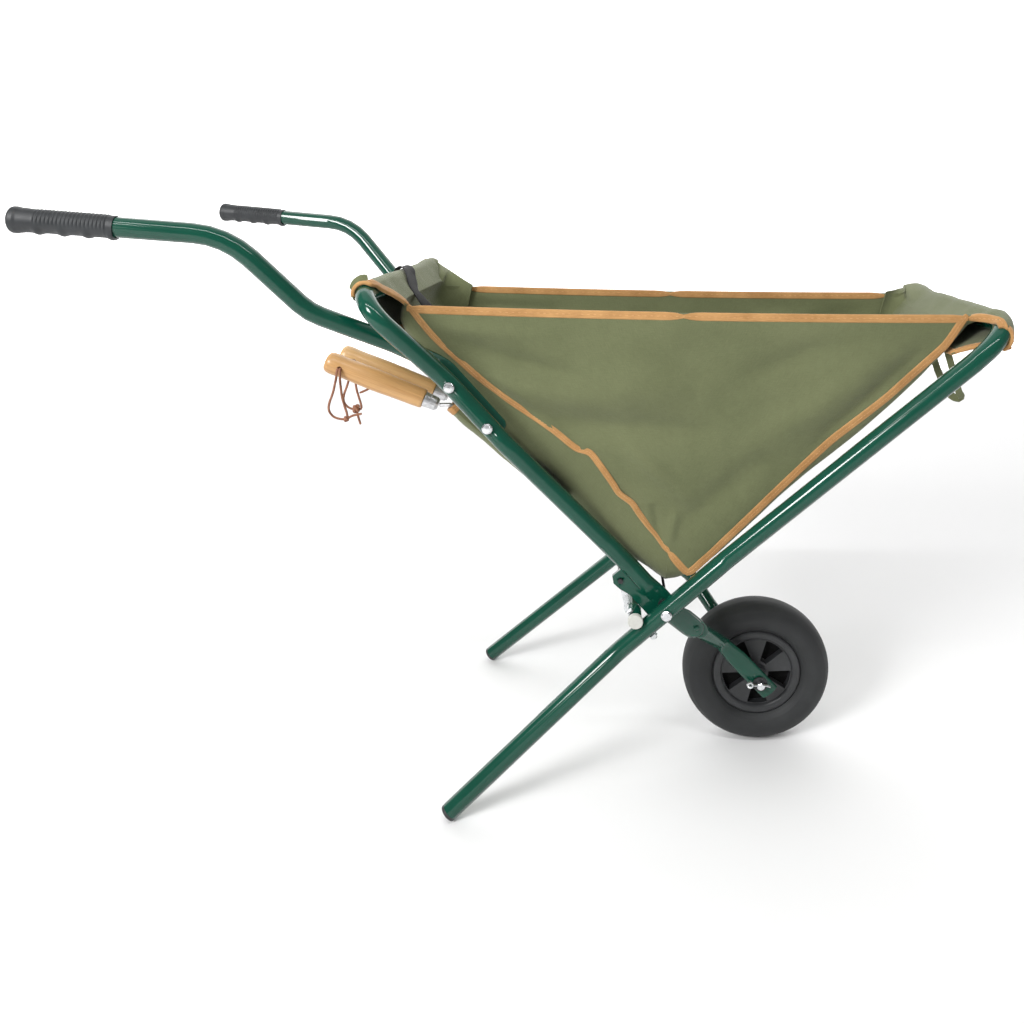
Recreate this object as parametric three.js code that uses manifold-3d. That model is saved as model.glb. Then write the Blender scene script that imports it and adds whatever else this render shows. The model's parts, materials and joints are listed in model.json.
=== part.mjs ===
// Folding canvas wheelbarrow: two bent tube frames crossed on a pivot, with a canvas bag slung between them.
// Millimetres, +Z up, +X forward towards the wheel, +Y to the left of a person pushing it.
// The design is laid out from the wheel's axle; the finished group then stands on z = 0, centred in x and y.
import * as THREE from 'three';
import { mergeVertices } from 'three/addons/utils/BufferGeometryUtils.js';
import Module from 'manifold-3d';

const wasm = await Module();
wasm.setup();

// ---- driving dimensions -------------------------------------------------------------------------
const GAP = 0.3;                 // clearance between pieces that touch
const TUBE = 11;                 // radius of the main tubes
const WHEEL = 100;               // radius over the tyre
const PIVOT = { x: -133.5, z: 251 };
const REAR_ANGLE = 131.5;        // degrees from +X of the rear frame, upwards from the pivot
const LEG_ANGLE = 42.9;          // degrees from +X of the leg frame, upwards from the pivot
const ARM = 514.4;               // pivot to either crossbar
const FLAT = 4.5;                // half thickness of a flattened tube
const FLAT_WIDE = 14;            // half width of a flattened tube

// half widths of the rear frame, by distance from the pivot
const REAR_FLARE = 215;
const REAR_UPPER = 166;
const REAR_MIDDLE = 163;
const REAR_WAIST = 130;
const REAR_PIVOT = 122.5;
const PADDLE_END = { r: -69, y: 97 };

// half widths of the leg frame
const LEG_TOP = 168;
const LEG_WAIST = 141;
const LEG_FOOT = 181;

const BAG_HALF = 118;            // half width of the canvas bag inside its side panels
const CLOTH = 3;                 // thickness of the bag's plain panels
const SLEEVE = 3.2;              // thickness of the canvas rolled round a crossbar

const BAR = 8;                   // radius of the cross bar that ties the legs
const BAR_HALF = 150;
const BAR_REACH = -32;           // its place along the leg frame from the pivot

const ROD = 3;                   // radius of the catch's hinge rod
const HINGE = { r: 59.4, n: -20.1 };
const HOOK_Y = 116;

const SIDES = { right: -1, left: 1 };
const TUBE_SIDES = 16;
const BEND_STEP = 14;            // degrees of turn between the rings of a bend

// ---- places -------------------------------------------------------------------------------------
const v = (x, y, z) => new THREE.Vector3(x, y, z);
const Y = v(0, 1, 0);
const rad = THREE.MathUtils.degToRad;

// A frame's own plane: r runs up from the pivot, y is across, and n is off the plane, towards the
// inside of the bag.
function framePlane(degrees, inward) {
  const along = v(Math.cos(rad(degrees)), 0, Math.sin(rad(degrees)));
  const normal = v(-Math.sin(rad(degrees)) * inward, 0, Math.cos(rad(degrees)) * inward);
  const at = (r, y, n = 0) => v(PIVOT.x, y, PIVOT.z).addScaledVector(along, r).addScaledVector(normal, n);
  return { along, normal, at };
}
const rear = framePlane(REAR_ANGLE, -1);
const leg = framePlane(LEG_ANGLE, 1);
const AXLE_REACH = (PIVOT.z - WHEEL) / Math.sin(rad(REAR_ANGLE));
const AXLE = rear.at(-AXLE_REACH, 0);

// ---- solids -------------------------------------------------------------------------------------
function bare(geometry) {
  const copy = geometry.index ? geometry.clone() : mergeVertices(geometry.clone());
  copy.deleteAttribute('normal');
  copy.deleteAttribute('uv');
  return mergeVertices(copy, 1e-4);
}

function solidOf(geometry) {
  const { position } = geometry.attributes;
  const triVerts = new Uint32Array(geometry.index.array);
  const vertProperties = new Float32Array(position.array);
  return new wasm.Manifold(new wasm.Mesh({ numProp: 3, vertProperties, triVerts }));
}

function geometryOf(solid) {
  const mesh = solid.getMesh();
  const geometry = new THREE.BufferGeometry();
  geometry.setAttribute('position', new THREE.BufferAttribute(mesh.vertProperties, mesh.numProp));
  geometry.setIndex(new THREE.BufferAttribute(mesh.triVerts, 1));
  return geometry;
}

const join = (first, ...others) =>
  geometryOf(others.reduce((solid, piece) => solid.add(solidOf(piece)), solidOf(first)));
const cut = (first, ...others) =>
  geometryOf(others.reduce((solid, piece) => solid.subtract(solidOf(piece)), solidOf(first)));

// Turns a shape made along +Y so that it lies along `direction`, and moves it to `place`.
function aim(geometry, place, direction = Y) {
  const turn = new THREE.Quaternion().setFromUnitVectors(Y, direction.clone().normalize());
  return geometry.clone().applyQuaternion(turn).translate(place.x, place.y, place.z);
}

const disc = (radius, length, sides = 14) => bare(new THREE.CylinderGeometry(radius, radius, length, sides));
const lathe = (profile, sides = 24) =>
  bare(new THREE.LatheGeometry(profile.map(([radius, height]) => new THREE.Vector2(radius, height)), sides));

// A flat outline in the x-z plane, thickened along y about `middle`.
function plate(outline, thickness, middle) {
  const shape = outline instanceof THREE.Shape ? outline
    : new THREE.Shape(outline.map((point) => new THREE.Vector2(point.x, point.z)));
  const settings = { depth: thickness, bevelEnabled: false, curveSegments: 6 };
  return bare(new THREE.ExtrudeGeometry(shape, settings)).rotateX(Math.PI / 2)
    .translate(0, middle + thickness / 2, 0);
}

// ---- bent tubes ---------------------------------------------------------------------------------
// A true arc that rounds one corner of a polyline.
class Bend extends THREE.Curve {
  constructor(before, corner, after, radius) {
    super();
    this.heading = corner.clone().sub(before).normalize();
    const leaving = after.clone().sub(corner).normalize();
    this.turn = this.heading.angleTo(leaving);
    this.radius = radius;
    this.start = corner.clone().addScaledVector(this.heading, -radius * Math.tan(this.turn / 2));
    this.inwards = leaving.addScaledVector(this.heading, -Math.cos(this.turn)).normalize();
  }

  getPoint(t, target = new THREE.Vector3()) {
    const angle = t * this.turn;
    return target.copy(this.start)
      .addScaledVector(this.heading, this.radius * Math.sin(angle))
      .addScaledVector(this.inwards, this.radius * (1 - Math.cos(angle)));
  }
}

// The centres of a tube through the corners, each rounded to its own radius where it has one.
function centreLine(corners) {
  return corners.flatMap(({ at, radius }, i) => {
    if (!radius) return [at];
    const bend = new Bend(corners[i - 1].at, at, corners[i + 1].at, radius);
    return bend.getPoints(Math.max(2, Math.ceil(bend.turn / rad(BEND_STEP))));
  });
}

// A closed tube through the centres. halves(fromStart, toEnd, i) gives its half size along `side`
// and across it at centre i.
function sweep(centres, side, halves, sides = TUBE_SIDES) {
  const rings = centres.length - 1;
  const run = centres.map(() => 0);
  for (let i = 1; i <= rings; i += 1) run[i] = run[i - 1] + centres[i].distanceTo(centres[i - 1]);
  const frames = centres.map((centre, i) => {
    const ahead = centres[Math.min(i + 1, rings)].clone().sub(centres[Math.max(i - 1, 0)]).normalize();
    const s = side.clone().addScaledVector(ahead, -side.dot(ahead)).normalize();
    return { centre, s, u: ahead.clone().cross(s), half: halves(run[i], run[rings] - run[i], i) };
  });
  const tube = new THREE.CylinderGeometry(1, 1, 1, sides, rings);
  const { position } = tube.attributes;
  for (let i = 0; i < position.count; i += 1) {
    const { centre, s, u, half } = frames[Math.round((0.5 - position.getY(i)) * rings)];
    const point = centre.clone()
      .addScaledVector(s, position.getX(i) * half[0])
      .addScaledVector(u, position.getZ(i) * half[1]);
    position.setXYZ(i, point.x, point.y, point.z);
  }
  return bare(tube);
}

const round = (radius) => () => [radius, radius];
const mix = THREE.MathUtils.lerp;
const ramp = THREE.MathUtils.smoothstep;

// Half sizes of a tube that is pressed flat over its last stretch, with a rounded end where asked.
function pressedEnd(toEnd, flatLength, rampLength, rounded) {
  const pressed = 1 - ramp(toEnd, flatLength, flatLength + rampLength);
  let wide = mix(TUBE, FLAT_WIDE, pressed);
  if (toEnd < rounded) wide *= Math.sqrt(1 - (0.92 * (1 - toEnd / rounded)) ** 2);
  return [wide, mix(TUBE, FLAT, pressed)];
}

// ---- the group ----------------------------------------------------------------------------------
const FINISH = {
  paint: ['#1e5a46', 0.25, 0.4],
  steel: ['#c8cacc', 0.3, 1],
  black: ['#26282a', 0.5, 0.2],
  rubber: ['#3a3d3f', 0.75, 0],
  tyre: ['#33363a', 0.8, 0],
  plastic: ['#2c2e30', 0.5, 0],
  cap: ['#cdcdc6', 0.5, 0],
  canvas: ['#767d5f', 0.9, 0],
  wood: ['#c89b64', 0.5, 0],
  leather: ['#8a5f45', 0.8, 0],
};
const assembly = new THREE.Group();

function add(name, geometry, finish) {
  const [color, roughness, metalness] = FINISH[finish];
  const mesh = new THREE.Mesh(geometry, new THREE.MeshStandardMaterial({ color, roughness, metalness }));
  mesh.name = name;
  assembly.add(mesh);
  return mesh;
}

// ---- fasteners ----------------------------------------------------------------------------------
// A pan-head bolt with its nut run up on the thread, along +Y with the head's seat at y = 0.
function bolt({ shank, head, headHeight, grip, tail = 2 }) {
  const nutHeight = shank * 1.6;
  const screw = lathe([
    [0, -grip - nutHeight - tail], [shank, -grip - nutHeight - tail], [shank, 0],
    [head, 0], [head, headHeight * 0.5], [head * 0.75, headHeight * 0.9], [0, headHeight],
  ], 14);
  const nut = disc(shank * 1.95, nutHeight, 6).translate(0, -grip - nutHeight / 2, 0);
  return join(screw, nut);
}

const hole = (place, direction, radius, length) => aim(disc(radius, length, 12), place, direction);

const HANDLE_BOLT = { shank: 3, head: 6.2, headHeight: 3.6 };
const PIVOT_BOLT = { shank: 4, head: 6.6, headHeight: 4 };
const FORK_RIVET = { shank: 2.5, head: 4, headHeight: 1.8 };
const HANDLE_BOLTS = { upper: 375, lower: 311.6 };

// ---- rear frame: handles at the top, wheel at the bottom ----------------------------------------
const rearHalfWidth = (r) => mix(REAR_MIDDLE, REAR_UPPER, (r - 279) / (389 - 279));

// One side of the rear frame's centre line, from its pressed end up to the middle of the crossbar.
function rearSide(side) {
  const { at } = rear;
  return [
    { at: at(PADDLE_END.r, PADDLE_END.y * side) },
    { at: at(-66, 98.5 * side) },
    { at: at(-61, 100.9 * side) },
    { at: at(-52, 105.2 * side) },
    { at: at(-16, REAR_PIVOT * side), radius: 20 },
    { at: at(16, REAR_PIVOT * side) },
    { at: at(26, REAR_PIVOT * side) },
    { at: at(36, REAR_PIVOT * side) },
    { at: at(64, REAR_PIVOT * side), radius: 60 },
    { at: at(111, REAR_WAIST * side), radius: 60 },
    { at: at(279, REAR_MIDDLE * side), radius: 100 },
    { at: at(389, REAR_UPPER * side), radius: 90 },
    { at: at(ARM, REAR_FLARE * side), radius: 33 },
  ];
}

// The paddle's own directions: along it towards its end, and out of its outer face.
const paddleStart = { r: -16, y: REAR_PIVOT };
const paddleSlope = Math.atan2(PADDLE_END.y - paddleStart.y, paddleStart.r - PADDLE_END.r);
const paddleOut = (side) =>
  rear.along.clone().multiplyScalar(Math.sin(paddleSlope)).addScaledVector(Y, side * Math.cos(paddleSlope));
const paddleHalfWidth = (r) =>
  mix(paddleStart.y, PADDLE_END.y, (paddleStart.r - r) / (paddleStart.r - PADDLE_END.r));
const paddleAt = (r, side, n = 0) => rear.at(r, side * paddleHalfWidth(r), n);

// A plate welded under the rear frame: it stops on the cross bar and carries the catch's hinge rod.
const LUG = [[4, -7], [70, -7], [70, -24], [62, -29], [52, -28], [38, -23.6], [4, -23.6]];
const hinge = rear.at(HINGE.r, 0, HINGE.n);
function lug(side) {
  return plate(LUG.map(([r, n]) => rear.at(r, 0, n)), 5, side * (REAR_PIVOT + 1.5));
}

function rearFrame() {
  const corners = [...rearSide(-1), ...rearSide(1).reverse()];
  const tube = sweep(centreLine(corners), rear.normal, (fromStart, toEnd) =>
    pressedEnd(Math.min(fromStart, toEnd), 88, 26, 14));
  const lugs = Object.values(SIDES).map(lug);
  const drills = Object.values(SIDES).flatMap((side) => [
    hole(rear.at(0, REAR_PIVOT * side), Y, PIVOT_BOLT.shank + GAP, 30),
    hole(paddleAt(-54, side, 5), paddleOut(side), FORK_RIVET.shank + GAP, 24),
    hole(rear.at(HINGE.r, REAR_PIVOT * side, HINGE.n), Y, ROD + GAP, 30),
    ...Object.values(HANDLE_BOLTS).map((r) =>
      hole(rear.at(r, rearHalfWidth(r) * side), Y, HANDLE_BOLT.shank + GAP, 40)),
  ]);
  return cut(join(tube, ...lugs), ...drills);
}

// ---- handles and grips --------------------------------------------------------------------------
const HANDLE_INSIDE = 146.8;      // half width of the handle's pressed end, inside the rear frame
const GRIP_END = v(-820.3, 241, 720.6);
const KNEE = v(-608.3, 216, 703.1);
const ELBOW = v(-532.2, 190, 618.4);
const gripDirection = (side) =>
  v(GRIP_END.x - KNEE.x, side * (GRIP_END.y - KNEE.y), GRIP_END.z - KNEE.z).normalize();
const GRIP_LENGTH = 104;
const GRIP_OUTER = 13;

function handle(side) {
  const mirrored = (point) => v(point.x, point.y * side, point.z);
  const tubeEnd = mirrored(GRIP_END).addScaledVector(gripDirection(side), -3.5);
  const corners = [
    { at: tubeEnd },
    { at: mirrored(KNEE), radius: 85 },
    { at: mirrored(ELBOW), radius: 68 },
    { at: rear.at(453, side * HANDLE_INSIDE, -21), radius: 40 },
    { at: rear.at(404, side * HANDLE_INSIDE), radius: 30 },
    { at: rear.at(390, side * HANDLE_INSIDE) },
    { at: rear.at(302, side * HANDLE_INSIDE) },
    { at: rear.at(297, side * HANDLE_INSIDE) },
    { at: rear.at(294, side * HANDLE_INSIDE) },
  ];
  const tube = sweep(centreLine(corners), Y, (fromStart, toEnd) => {
    const [wide, thin] = pressedEnd(toEnd, 96, 18, 8);
    return [thin, wide];
  });
  const drills = Object.values(HANDLE_BOLTS).map((r) =>
    hole(rear.at(r, side * HANDLE_INSIDE), Y, HANDLE_BOLT.shank + GAP, 30));
  return cut(tube, ...drills);
}

// A closed-ended rubber grip, its open end at y = 0 and its closed end at y = GRIP_LENGTH.
function grip() {
  const bore = TUBE + GAP;
  return lathe([
    [0, GRIP_LENGTH], [11.6, GRIP_LENGTH], [13.5, GRIP_LENGTH - 2], [14, GRIP_LENGTH - 7],
    [GRIP_OUTER, GRIP_LENGTH - 10], [GRIP_OUTER, 12], [12.7, 9], [12.7, 0],
    [bore, 0], [bore, GRIP_LENGTH - 3.2], [0, GRIP_LENGTH - 3.2],
  ].reverse());
}

function addHandle(name, side) {
  add(`handle_${name}`, handle(side), 'paint');
  const open = v(GRIP_END.x, side * GRIP_END.y, GRIP_END.z)
    .addScaledVector(gripDirection(side), -GRIP_LENGTH);
  add(`grip_${name}`, aim(grip(), open, gripDirection(side)), 'rubber');
  for (const [place, r] of Object.entries(HANDLE_BOLTS)) {
    const seat = rearHalfWidth(r) + TUBE + 3 * GAP;
    const body = bolt({ ...HANDLE_BOLT, grip: seat - HANDLE_INSIDE + FLAT + GAP });
    add(`handle_bolt_${name}_${place}`, aim(body, rear.at(r, seat * side), v(0, side, 0)), 'steel');
  }
}

// ---- wheel fork ---------------------------------------------------------------------------------
const FORK_BEND = { r: -122.3, y: 46 };
const FORK_END = { r: -224, y: 34 };
const forkHalfWidth = (r) => mix(FORK_BEND.y, FORK_END.y, (r - FORK_BEND.r) / (FORK_END.r - FORK_BEND.r));
const FORK_ARM = forkHalfWidth(-AXLE_REACH);
const FORK_OFFSET = 2 * FLAT + 0.8;

function forkArm(side) {
  const behind = (r) => paddleAt(r, side).addScaledVector(paddleOut(side), -FORK_OFFSET);
  const corners = [
    { at: behind(-30) },
    { at: behind(-33) },
    { at: behind(-40) },
    { at: behind(-62) },
    { at: behind(-78), radius: 30 },
    { at: rear.at(FORK_BEND.r, side * FORK_BEND.y), radius: 26 },
    { at: rear.at(-152, side * forkHalfWidth(-152)) },
    { at: rear.at(FORK_END.r, side * FORK_END.y) },
  ];
  const arm = sweep(centreLine(corners), rear.normal, (fromStart, toEnd) => {
    const upper = 1 - ramp(fromStart, 44, 60);
    const lower = 1 - ramp(toEnd, 72, 104);
    const pressed = Math.max(upper, lower);
    const rounding = fromStart < 8 ? Math.sqrt(1 - (0.9 * (1 - fromStart / 8)) ** 2) : 1;
    return [mix(9.5, 12.6, pressed) * rounding, mix(8.6, FLAT, pressed)];
  });
  return cut(
    arm,
    hole(v(AXLE.x, side * FORK_ARM, AXLE.z), Y, AXLE_R + GAP, 40),
    hole(paddleAt(-54, side, 5), paddleOut(side), FORK_RIVET.shank + GAP, 36),
  );
}

function addFork(name, side) {
  add(`fork_${name}`, forkArm(side), 'paint');
  const seat = paddleAt(-54, side, 5).addScaledVector(paddleOut(side), FLAT + GAP);
  const { shank, head, headHeight } = FORK_RIVET;
  const back = -FORK_OFFSET - 2 * FLAT - 0.8;
  const rivet = lathe([
    [0, back - 2.2], [3.4, back - 1.6], [3.4, back], [shank, back], [shank, 0],
    [head, 0], [head * 0.8, headHeight * 0.7], [0, headHeight],
  ], 16);
  add(`fork_rivet_${name}`, aim(rivet, seat, paddleOut(side)), 'steel');
}

// ---- axle and wheel -----------------------------------------------------------------------------
const AXLE_R = 5;
const AXLE_HALF = 52;
const PIN_Y = 47;                 // half distance between the split pins
const PIN_R = 1.6;
const HUB_HALF = 26;
const HUB_BORE = 7.6;
const RIM_R = 60;
const RIM_HALF = 16;

function axle() {
  const rod = lathe([
    [0, -AXLE_HALF], [AXLE_R - 1, -AXLE_HALF], [AXLE_R, -AXLE_HALF + 1],
    [AXLE_R, AXLE_HALF - 1], [AXLE_R - 1, AXLE_HALF], [0, AXLE_HALF],
  ]);
  const pinHole = (side) => aim(disc(PIN_R + GAP, 4 * AXLE_R, 12), v(0, side * PIN_Y, 0), v(1, 0, 0));
  return cut(rod, pinHole(-1), pinHole(1)).translate(AXLE.x, 0, AXLE.z);
}

// A split pin: its eye at the rear of the axle and its two ends spread in front of it.
function splitPin(side) {
  const legs = sweep([v(-11, 0, 0), v(9, 0, 0), v(13, 0, -1.5)], Y, round(PIN_R), 8);
  const eye = aim(bare(new THREE.TorusGeometry(3.4, PIN_R, 6, 12)).rotateX(Math.PI / 2), v(-13.6, 0, 0));
  return join(legs, eye).translate(AXLE.x, side * PIN_Y, AXLE.z);
}

const ring = (inner, outer, low, high, sides = 24) =>
  lathe([[inner, low], [outer, low], [outer, high], [inner, high], [inner, low]], sides);

function tyre() {
  const seat = RIM_R + GAP;
  const half = 25.4;
  const profile = [[seat, -RIM_HALF + 1], [70, -22.5], [80, -half], [90, -22], [96.5, -14.5]];
  const tread = [WHEEL, 0];
  const mirroredHalf = profile.map(([radius, y]) => [radius, -y]).reverse();
  return lathe([...profile, [WHEEL - 0.6, -7], tread, [WHEEL - 0.6, 7], ...mirroredHalf, profile[0]], 44)
    .translate(AXLE.x, 0, AXLE.z);
}

const WINDOWS = 5;
// One wedge-shaped window through the rim's web, centred on `angle` in the x-z plane.
function window(angle) {
  const half = rad(15);
  const shape = new THREE.Shape();
  shape.moveTo(17 * Math.cos(angle), 17 * Math.sin(angle));
  shape.absarc(0, 0, 46, angle - half, angle + half, false);
  return plate(shape, 3 * RIM_HALF, 0);
}

function rim() {
  const body = lathe([
    [HUB_BORE, -HUB_HALF], [13, -HUB_HALF], [16, -12], [46, -12.5], [49, -RIM_HALF],
    [57, -RIM_HALF], [58.4, -RIM_HALF + 1.2], [RIM_R, -RIM_HALF + 3],
    [RIM_R, RIM_HALF - 3], [58.4, RIM_HALF - 1.2], [57, RIM_HALF],
    [49, RIM_HALF], [46, 12.5], [16, 12], [13, HUB_HALF], [HUB_BORE, HUB_HALF], [HUB_BORE, -HUB_HALF],
  ], 32);
  const windows = Array.from({ length: WINDOWS }, (_, i) => window(rad(54 + (i * 360) / WINDOWS)));
  return cut(body, ...windows).translate(AXLE.x, 0, AXLE.z);
}

// A flanged bush pressed into each end of the hub.
function bush(side) {
  const inner = AXLE_R + GAP;
  const face = HUB_HALF + GAP;
  const outer = HUB_BORE - GAP;
  const profile = [
    [inner, 14], [outer, 14], [outer, face], [11, face], [11, face + 2], [inner, face + 2], [inner, 14],
  ];
  return aim(lathe(profile, 20), v(AXLE.x, 0, AXLE.z), v(0, side, 0));
}

function addWheel() {
  add('tyre', tyre(), 'tyre');
  add('rim', rim(), 'plastic');
  add('axle', axle(), 'steel');
  for (const [name, side] of Object.entries(SIDES)) {
    add(`hub_bush_${name}`, bush(side), 'black');
    const washer = ring(AXLE_R + GAP, 10, 0, 1.8, 16);
    const face = FORK_ARM + FLAT + 1.6;
    add(`axle_washer_${name}`, aim(washer, v(AXLE.x, side * face, AXLE.z), v(0, side, 0)), 'steel');
    add(`split_pin_${name}`, splitPin(side), 'steel');
  }
}

// ---- leg frame: the legs below, the bag's front crossbar above ----------------------------------
const PLUG = 10.6;
const PLUG_LENGTH = 4;
// The place along the leg of the plug's outer face, whose lower edge is on the ground.
const FOOT = -(PIVOT.z - PLUG * Math.cos(rad(LEG_ANGLE))) / Math.sin(rad(LEG_ANGLE));
const legFlare = (LEG_FOOT - LEG_WAIST) / (Math.abs(FOOT) - 78);

function legSide(side) {
  const { at } = leg;
  return [
    { at: at(FOOT + PLUG_LENGTH + GAP, (LEG_FOOT - legFlare * (PLUG_LENGTH + GAP)) * side) },
    { at: at(-78, LEG_WAIST * side), radius: 120 },
    { at: at(96, LEG_WAIST * side), radius: 120 },
    { at: at(ARM - 54, LEG_TOP * side), radius: 60 },
    { at: at(ARM, (LEG_TOP - 3) * side), radius: 44 },
  ];
}

const legDown = (side) =>
  leg.along.clone().multiplyScalar(-1).addScaledVector(Y, side * legFlare).normalize();

function legFrame() {
  const corners = [...legSide(-1), ...legSide(1).reverse()];
  const tube = sweep(centreLine(corners), leg.normal, round(TUBE));
  const drills = Object.values(SIDES).flatMap((side) => [
    hole(leg.at(0, LEG_WAIST * side), Y, PIVOT_BOLT.shank + GAP, 40),
    hole(leg.at(BAR_REACH, LEG_WAIST * side), leg.normal, BAR_BOLT.shank + GAP, 40),
  ]);
  return cut(tube, ...drills);
}

// The plug that closes a leg; its flat outer face is what the leg stands on.
function footPlug(side) {
  const plug = lathe([
    [0, -PLUG_LENGTH], [PLUG, -PLUG_LENGTH], [PLUG, -0.6], [PLUG - 1, 0], [0, 0],
  ]);
  return aim(plug, leg.at(FOOT, LEG_FOOT * side), legDown(side));
}

// ---- cross bar between the legs, and the catch that holds it ------------------------------------
const CLAW = { from: rad(152), to: rad(214) };
const BAR_BOLT = { shank: 2.5, head: 4.6, headHeight: 2.6 };
const barCentre = leg.at(BAR_REACH, 0, TUBE + BAR + GAP);

function crossBar() {
  const bar = disc(BAR, 2 * BAR_HALF, TUBE_SIDES).translate(barCentre.x, 0, barCentre.z);
  const drills = Object.values(SIDES).map((side) =>
    hole(v(barCentre.x, LEG_WAIST * side, barCentre.z), leg.normal, BAR_BOLT.shank + GAP, 40));
  return cut(bar, ...drills);
}

function addCrossBar() {
  add('cross_bar', crossBar(), 'paint');
  for (const [name, side] of Object.entries(SIDES)) {
    const cap = lathe([[0, 0], [9.2, 0], [9.2, 4], [8.4, 5.6], [0, 6.2]], 24);
    const end = v(barCentre.x, side * (BAR_HALF + GAP), barCentre.z);
    add(`bar_cap_${name}`, aim(cap, end, v(0, side, 0)), 'cap');
    const body = bolt({ ...BAR_BOLT, grip: 2 * (TUBE + BAR) + 3 * GAP });
    const seat = v(barCentre.x, LEG_WAIST * side, barCentre.z).addScaledVector(leg.normal, BAR + GAP);
    add(`bar_bolt_${name}`, aim(body, seat, leg.normal), 'steel');
  }
}

// A claw of strip steel that hangs from the hinge rod and closes behind the cross bar.
function catchHook(side) {
  const inner = BAR + 0.8;
  const outer = inner + 4.5;
  const claw = new THREE.Shape();
  claw.absarc(barCentre.x, barCentre.z, outer, CLAW.from, CLAW.to, false);
  claw.absarc(barCentre.x, barCentre.z, inner, CLAW.to, CLAW.from, true);
  const reach = (inner + outer) / 2;
  const shoulder = v(barCentre.x + reach * Math.cos(CLAW.from), 0, barCentre.z + reach * Math.sin(CLAW.from));
  const across = shoulder.clone().sub(hinge).normalize().cross(Y).multiplyScalar(3.6);
  const strip = [
    hinge.clone().add(across), shoulder.clone().add(across),
    shoulder.clone().sub(across), hinge.clone().sub(across),
  ];
  const boss = disc(ROD + 4, 3, 20).translate(hinge.x, side * HOOK_Y, hinge.z);
  const blank = join(plate(claw, 3, side * HOOK_Y), plate(strip, 3, side * HOOK_Y), boss);
  return cut(blank, hole(v(hinge.x, side * HOOK_Y, hinge.z), Y, ROD + GAP, 12));
}

// The zigzag wire that pulls each hook closed, beside the hook and inside it.
function catchSpring(side) {
  const top = rear.at(HINGE.r - 6, side * (HOOK_Y - 6), -TUBE - 3);
  const foot = v(barCentre.x - 12, side * (HOOK_Y - 6), barCentre.z + 12);
  const turns = 4;
  const points = Array.from({ length: 2 * turns + 1 }, (_, i) => {
    const along = top.clone().lerp(foot, i / (2 * turns));
    const swing = i === 0 || i === 2 * turns ? 0 : (i % 2 ? 2.4 : -2.4);
    return along.add(v(swing, 0, swing * 0.4));
  });
  return sweep(points, Y, round(0.9), 8);
}

function addCatch() {
  const rod = disc(ROD, 2 * (REAR_PIVOT + 7), 16).translate(hinge.x, 0, hinge.z);
  add('catch_rod', rod, 'black');
  for (const [name, side] of Object.entries(SIDES)) {
    add(`catch_hook_${name}`, catchHook(side), 'steel');
    add(`catch_spring_${name}`, catchSpring(side), 'black');
  }
}

function addPivot(name, side) {
  const seat = LEG_WAIST + TUBE + GAP;
  const body = bolt({ ...PIVOT_BOLT, grip: seat - REAR_PIVOT + FLAT + GAP });
  add(`pivot_bolt_${name}`, aim(body, v(PIVOT.x, side * seat, PIVOT.z), v(0, side, 0)), 'steel');
  const room = LEG_WAIST - TUBE - (REAR_PIVOT + FLAT);
  const washer = ring(PIVOT_BOLT.shank + GAP, 9, GAP, room - GAP, 16);
  const face = v(PIVOT.x, side * (REAR_PIVOT + FLAT), PIVOT.z);
  add(`pivot_washer_${name}`, aim(washer, face, v(0, side, 0)), 'black');
}

// ---- canvas bag ---------------------------------------------------------------------------------
const REAR_SLEEVE_HALF = 168;
const FRONT_SLEEVE_HALF = 116;
const PANEL_START = 130;          // where the two long panels take over from the bottom
const RIM_HEIGHT = 609;

// A slab of cloth between two points of a frame's plane, `half` wide each side.
function slab(plane, from, to, half) {
  const outline = [
    plane.at(from.r, 0, from.n), plane.at(to.r, 0, to.n),
    plane.at(to.r, 0, to.n + CLOTH), plane.at(from.r, 0, from.n + CLOTH),
  ];
  return plate(outline, 2 * half, 0);
}

function sleeve(plane, half) {
  const centre = plane.at(ARM, 0);
  return ring(TUBE + 0.6, TUBE + SLEEVE, -half, half).translate(centre.x, 0, centre.z);
}

// The trough at the bottom of the bag, which joins the two long panels.
function bagBottom() {
  const outerRear = rear.at(PANEL_START - 4, 0, 13);
  const outerFront = leg.at(PANEL_START - 4, 0, 13);
  const foot = v(PIVOT.x + 22, 0, PIVOT.z + 22);
  const lift = CLOTH / Math.sin(rad(44));
  const innerRear = rear.at(PANEL_START - 4, 0, 13 + CLOTH);
  const innerFront = leg.at(PANEL_START - 4, 0, 13 + CLOTH);
  return plate([outerRear, foot, outerFront, innerFront, foot.clone().add(v(0, 0, lift)), innerRear],
    2 * BAG_HALF - 1, 0);
}

function bagSide(side) {
  const outline = [
    v(-441, 0, RIM_HEIGHT + 6), v(-110, 0, 291), v(208, 0, RIM_HEIGHT - 3),
  ];
  return plate(outline, CLOTH, side * (BAG_HALF + GAP + CLOTH / 2));
}

// The tool pocket outside the rear panel: a flat bag, open at the top.
const POCKET = { mouth: 353, foot: 180, inner: 11.5, outerTop: -43, outerFoot: -18, half: 128, wall: 2.5 };
function pocket() {
  const { mouth, foot, inner, outerTop, outerFoot, half, wall } = POCKET;
  const outline = (grow, top) => [
    rear.at(top, 0, inner - grow), rear.at(foot + grow, 0, inner - grow),
    rear.at(foot + grow, 0, outerFoot + grow), rear.at(top, 0, outerTop + grow - (top - mouth) * 0.145),
  ];
  return cut(plate(outline(0, mouth), 2 * half, 0), plate(outline(wall, mouth + 20), 2 * (half - wall), 0));
}

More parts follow.
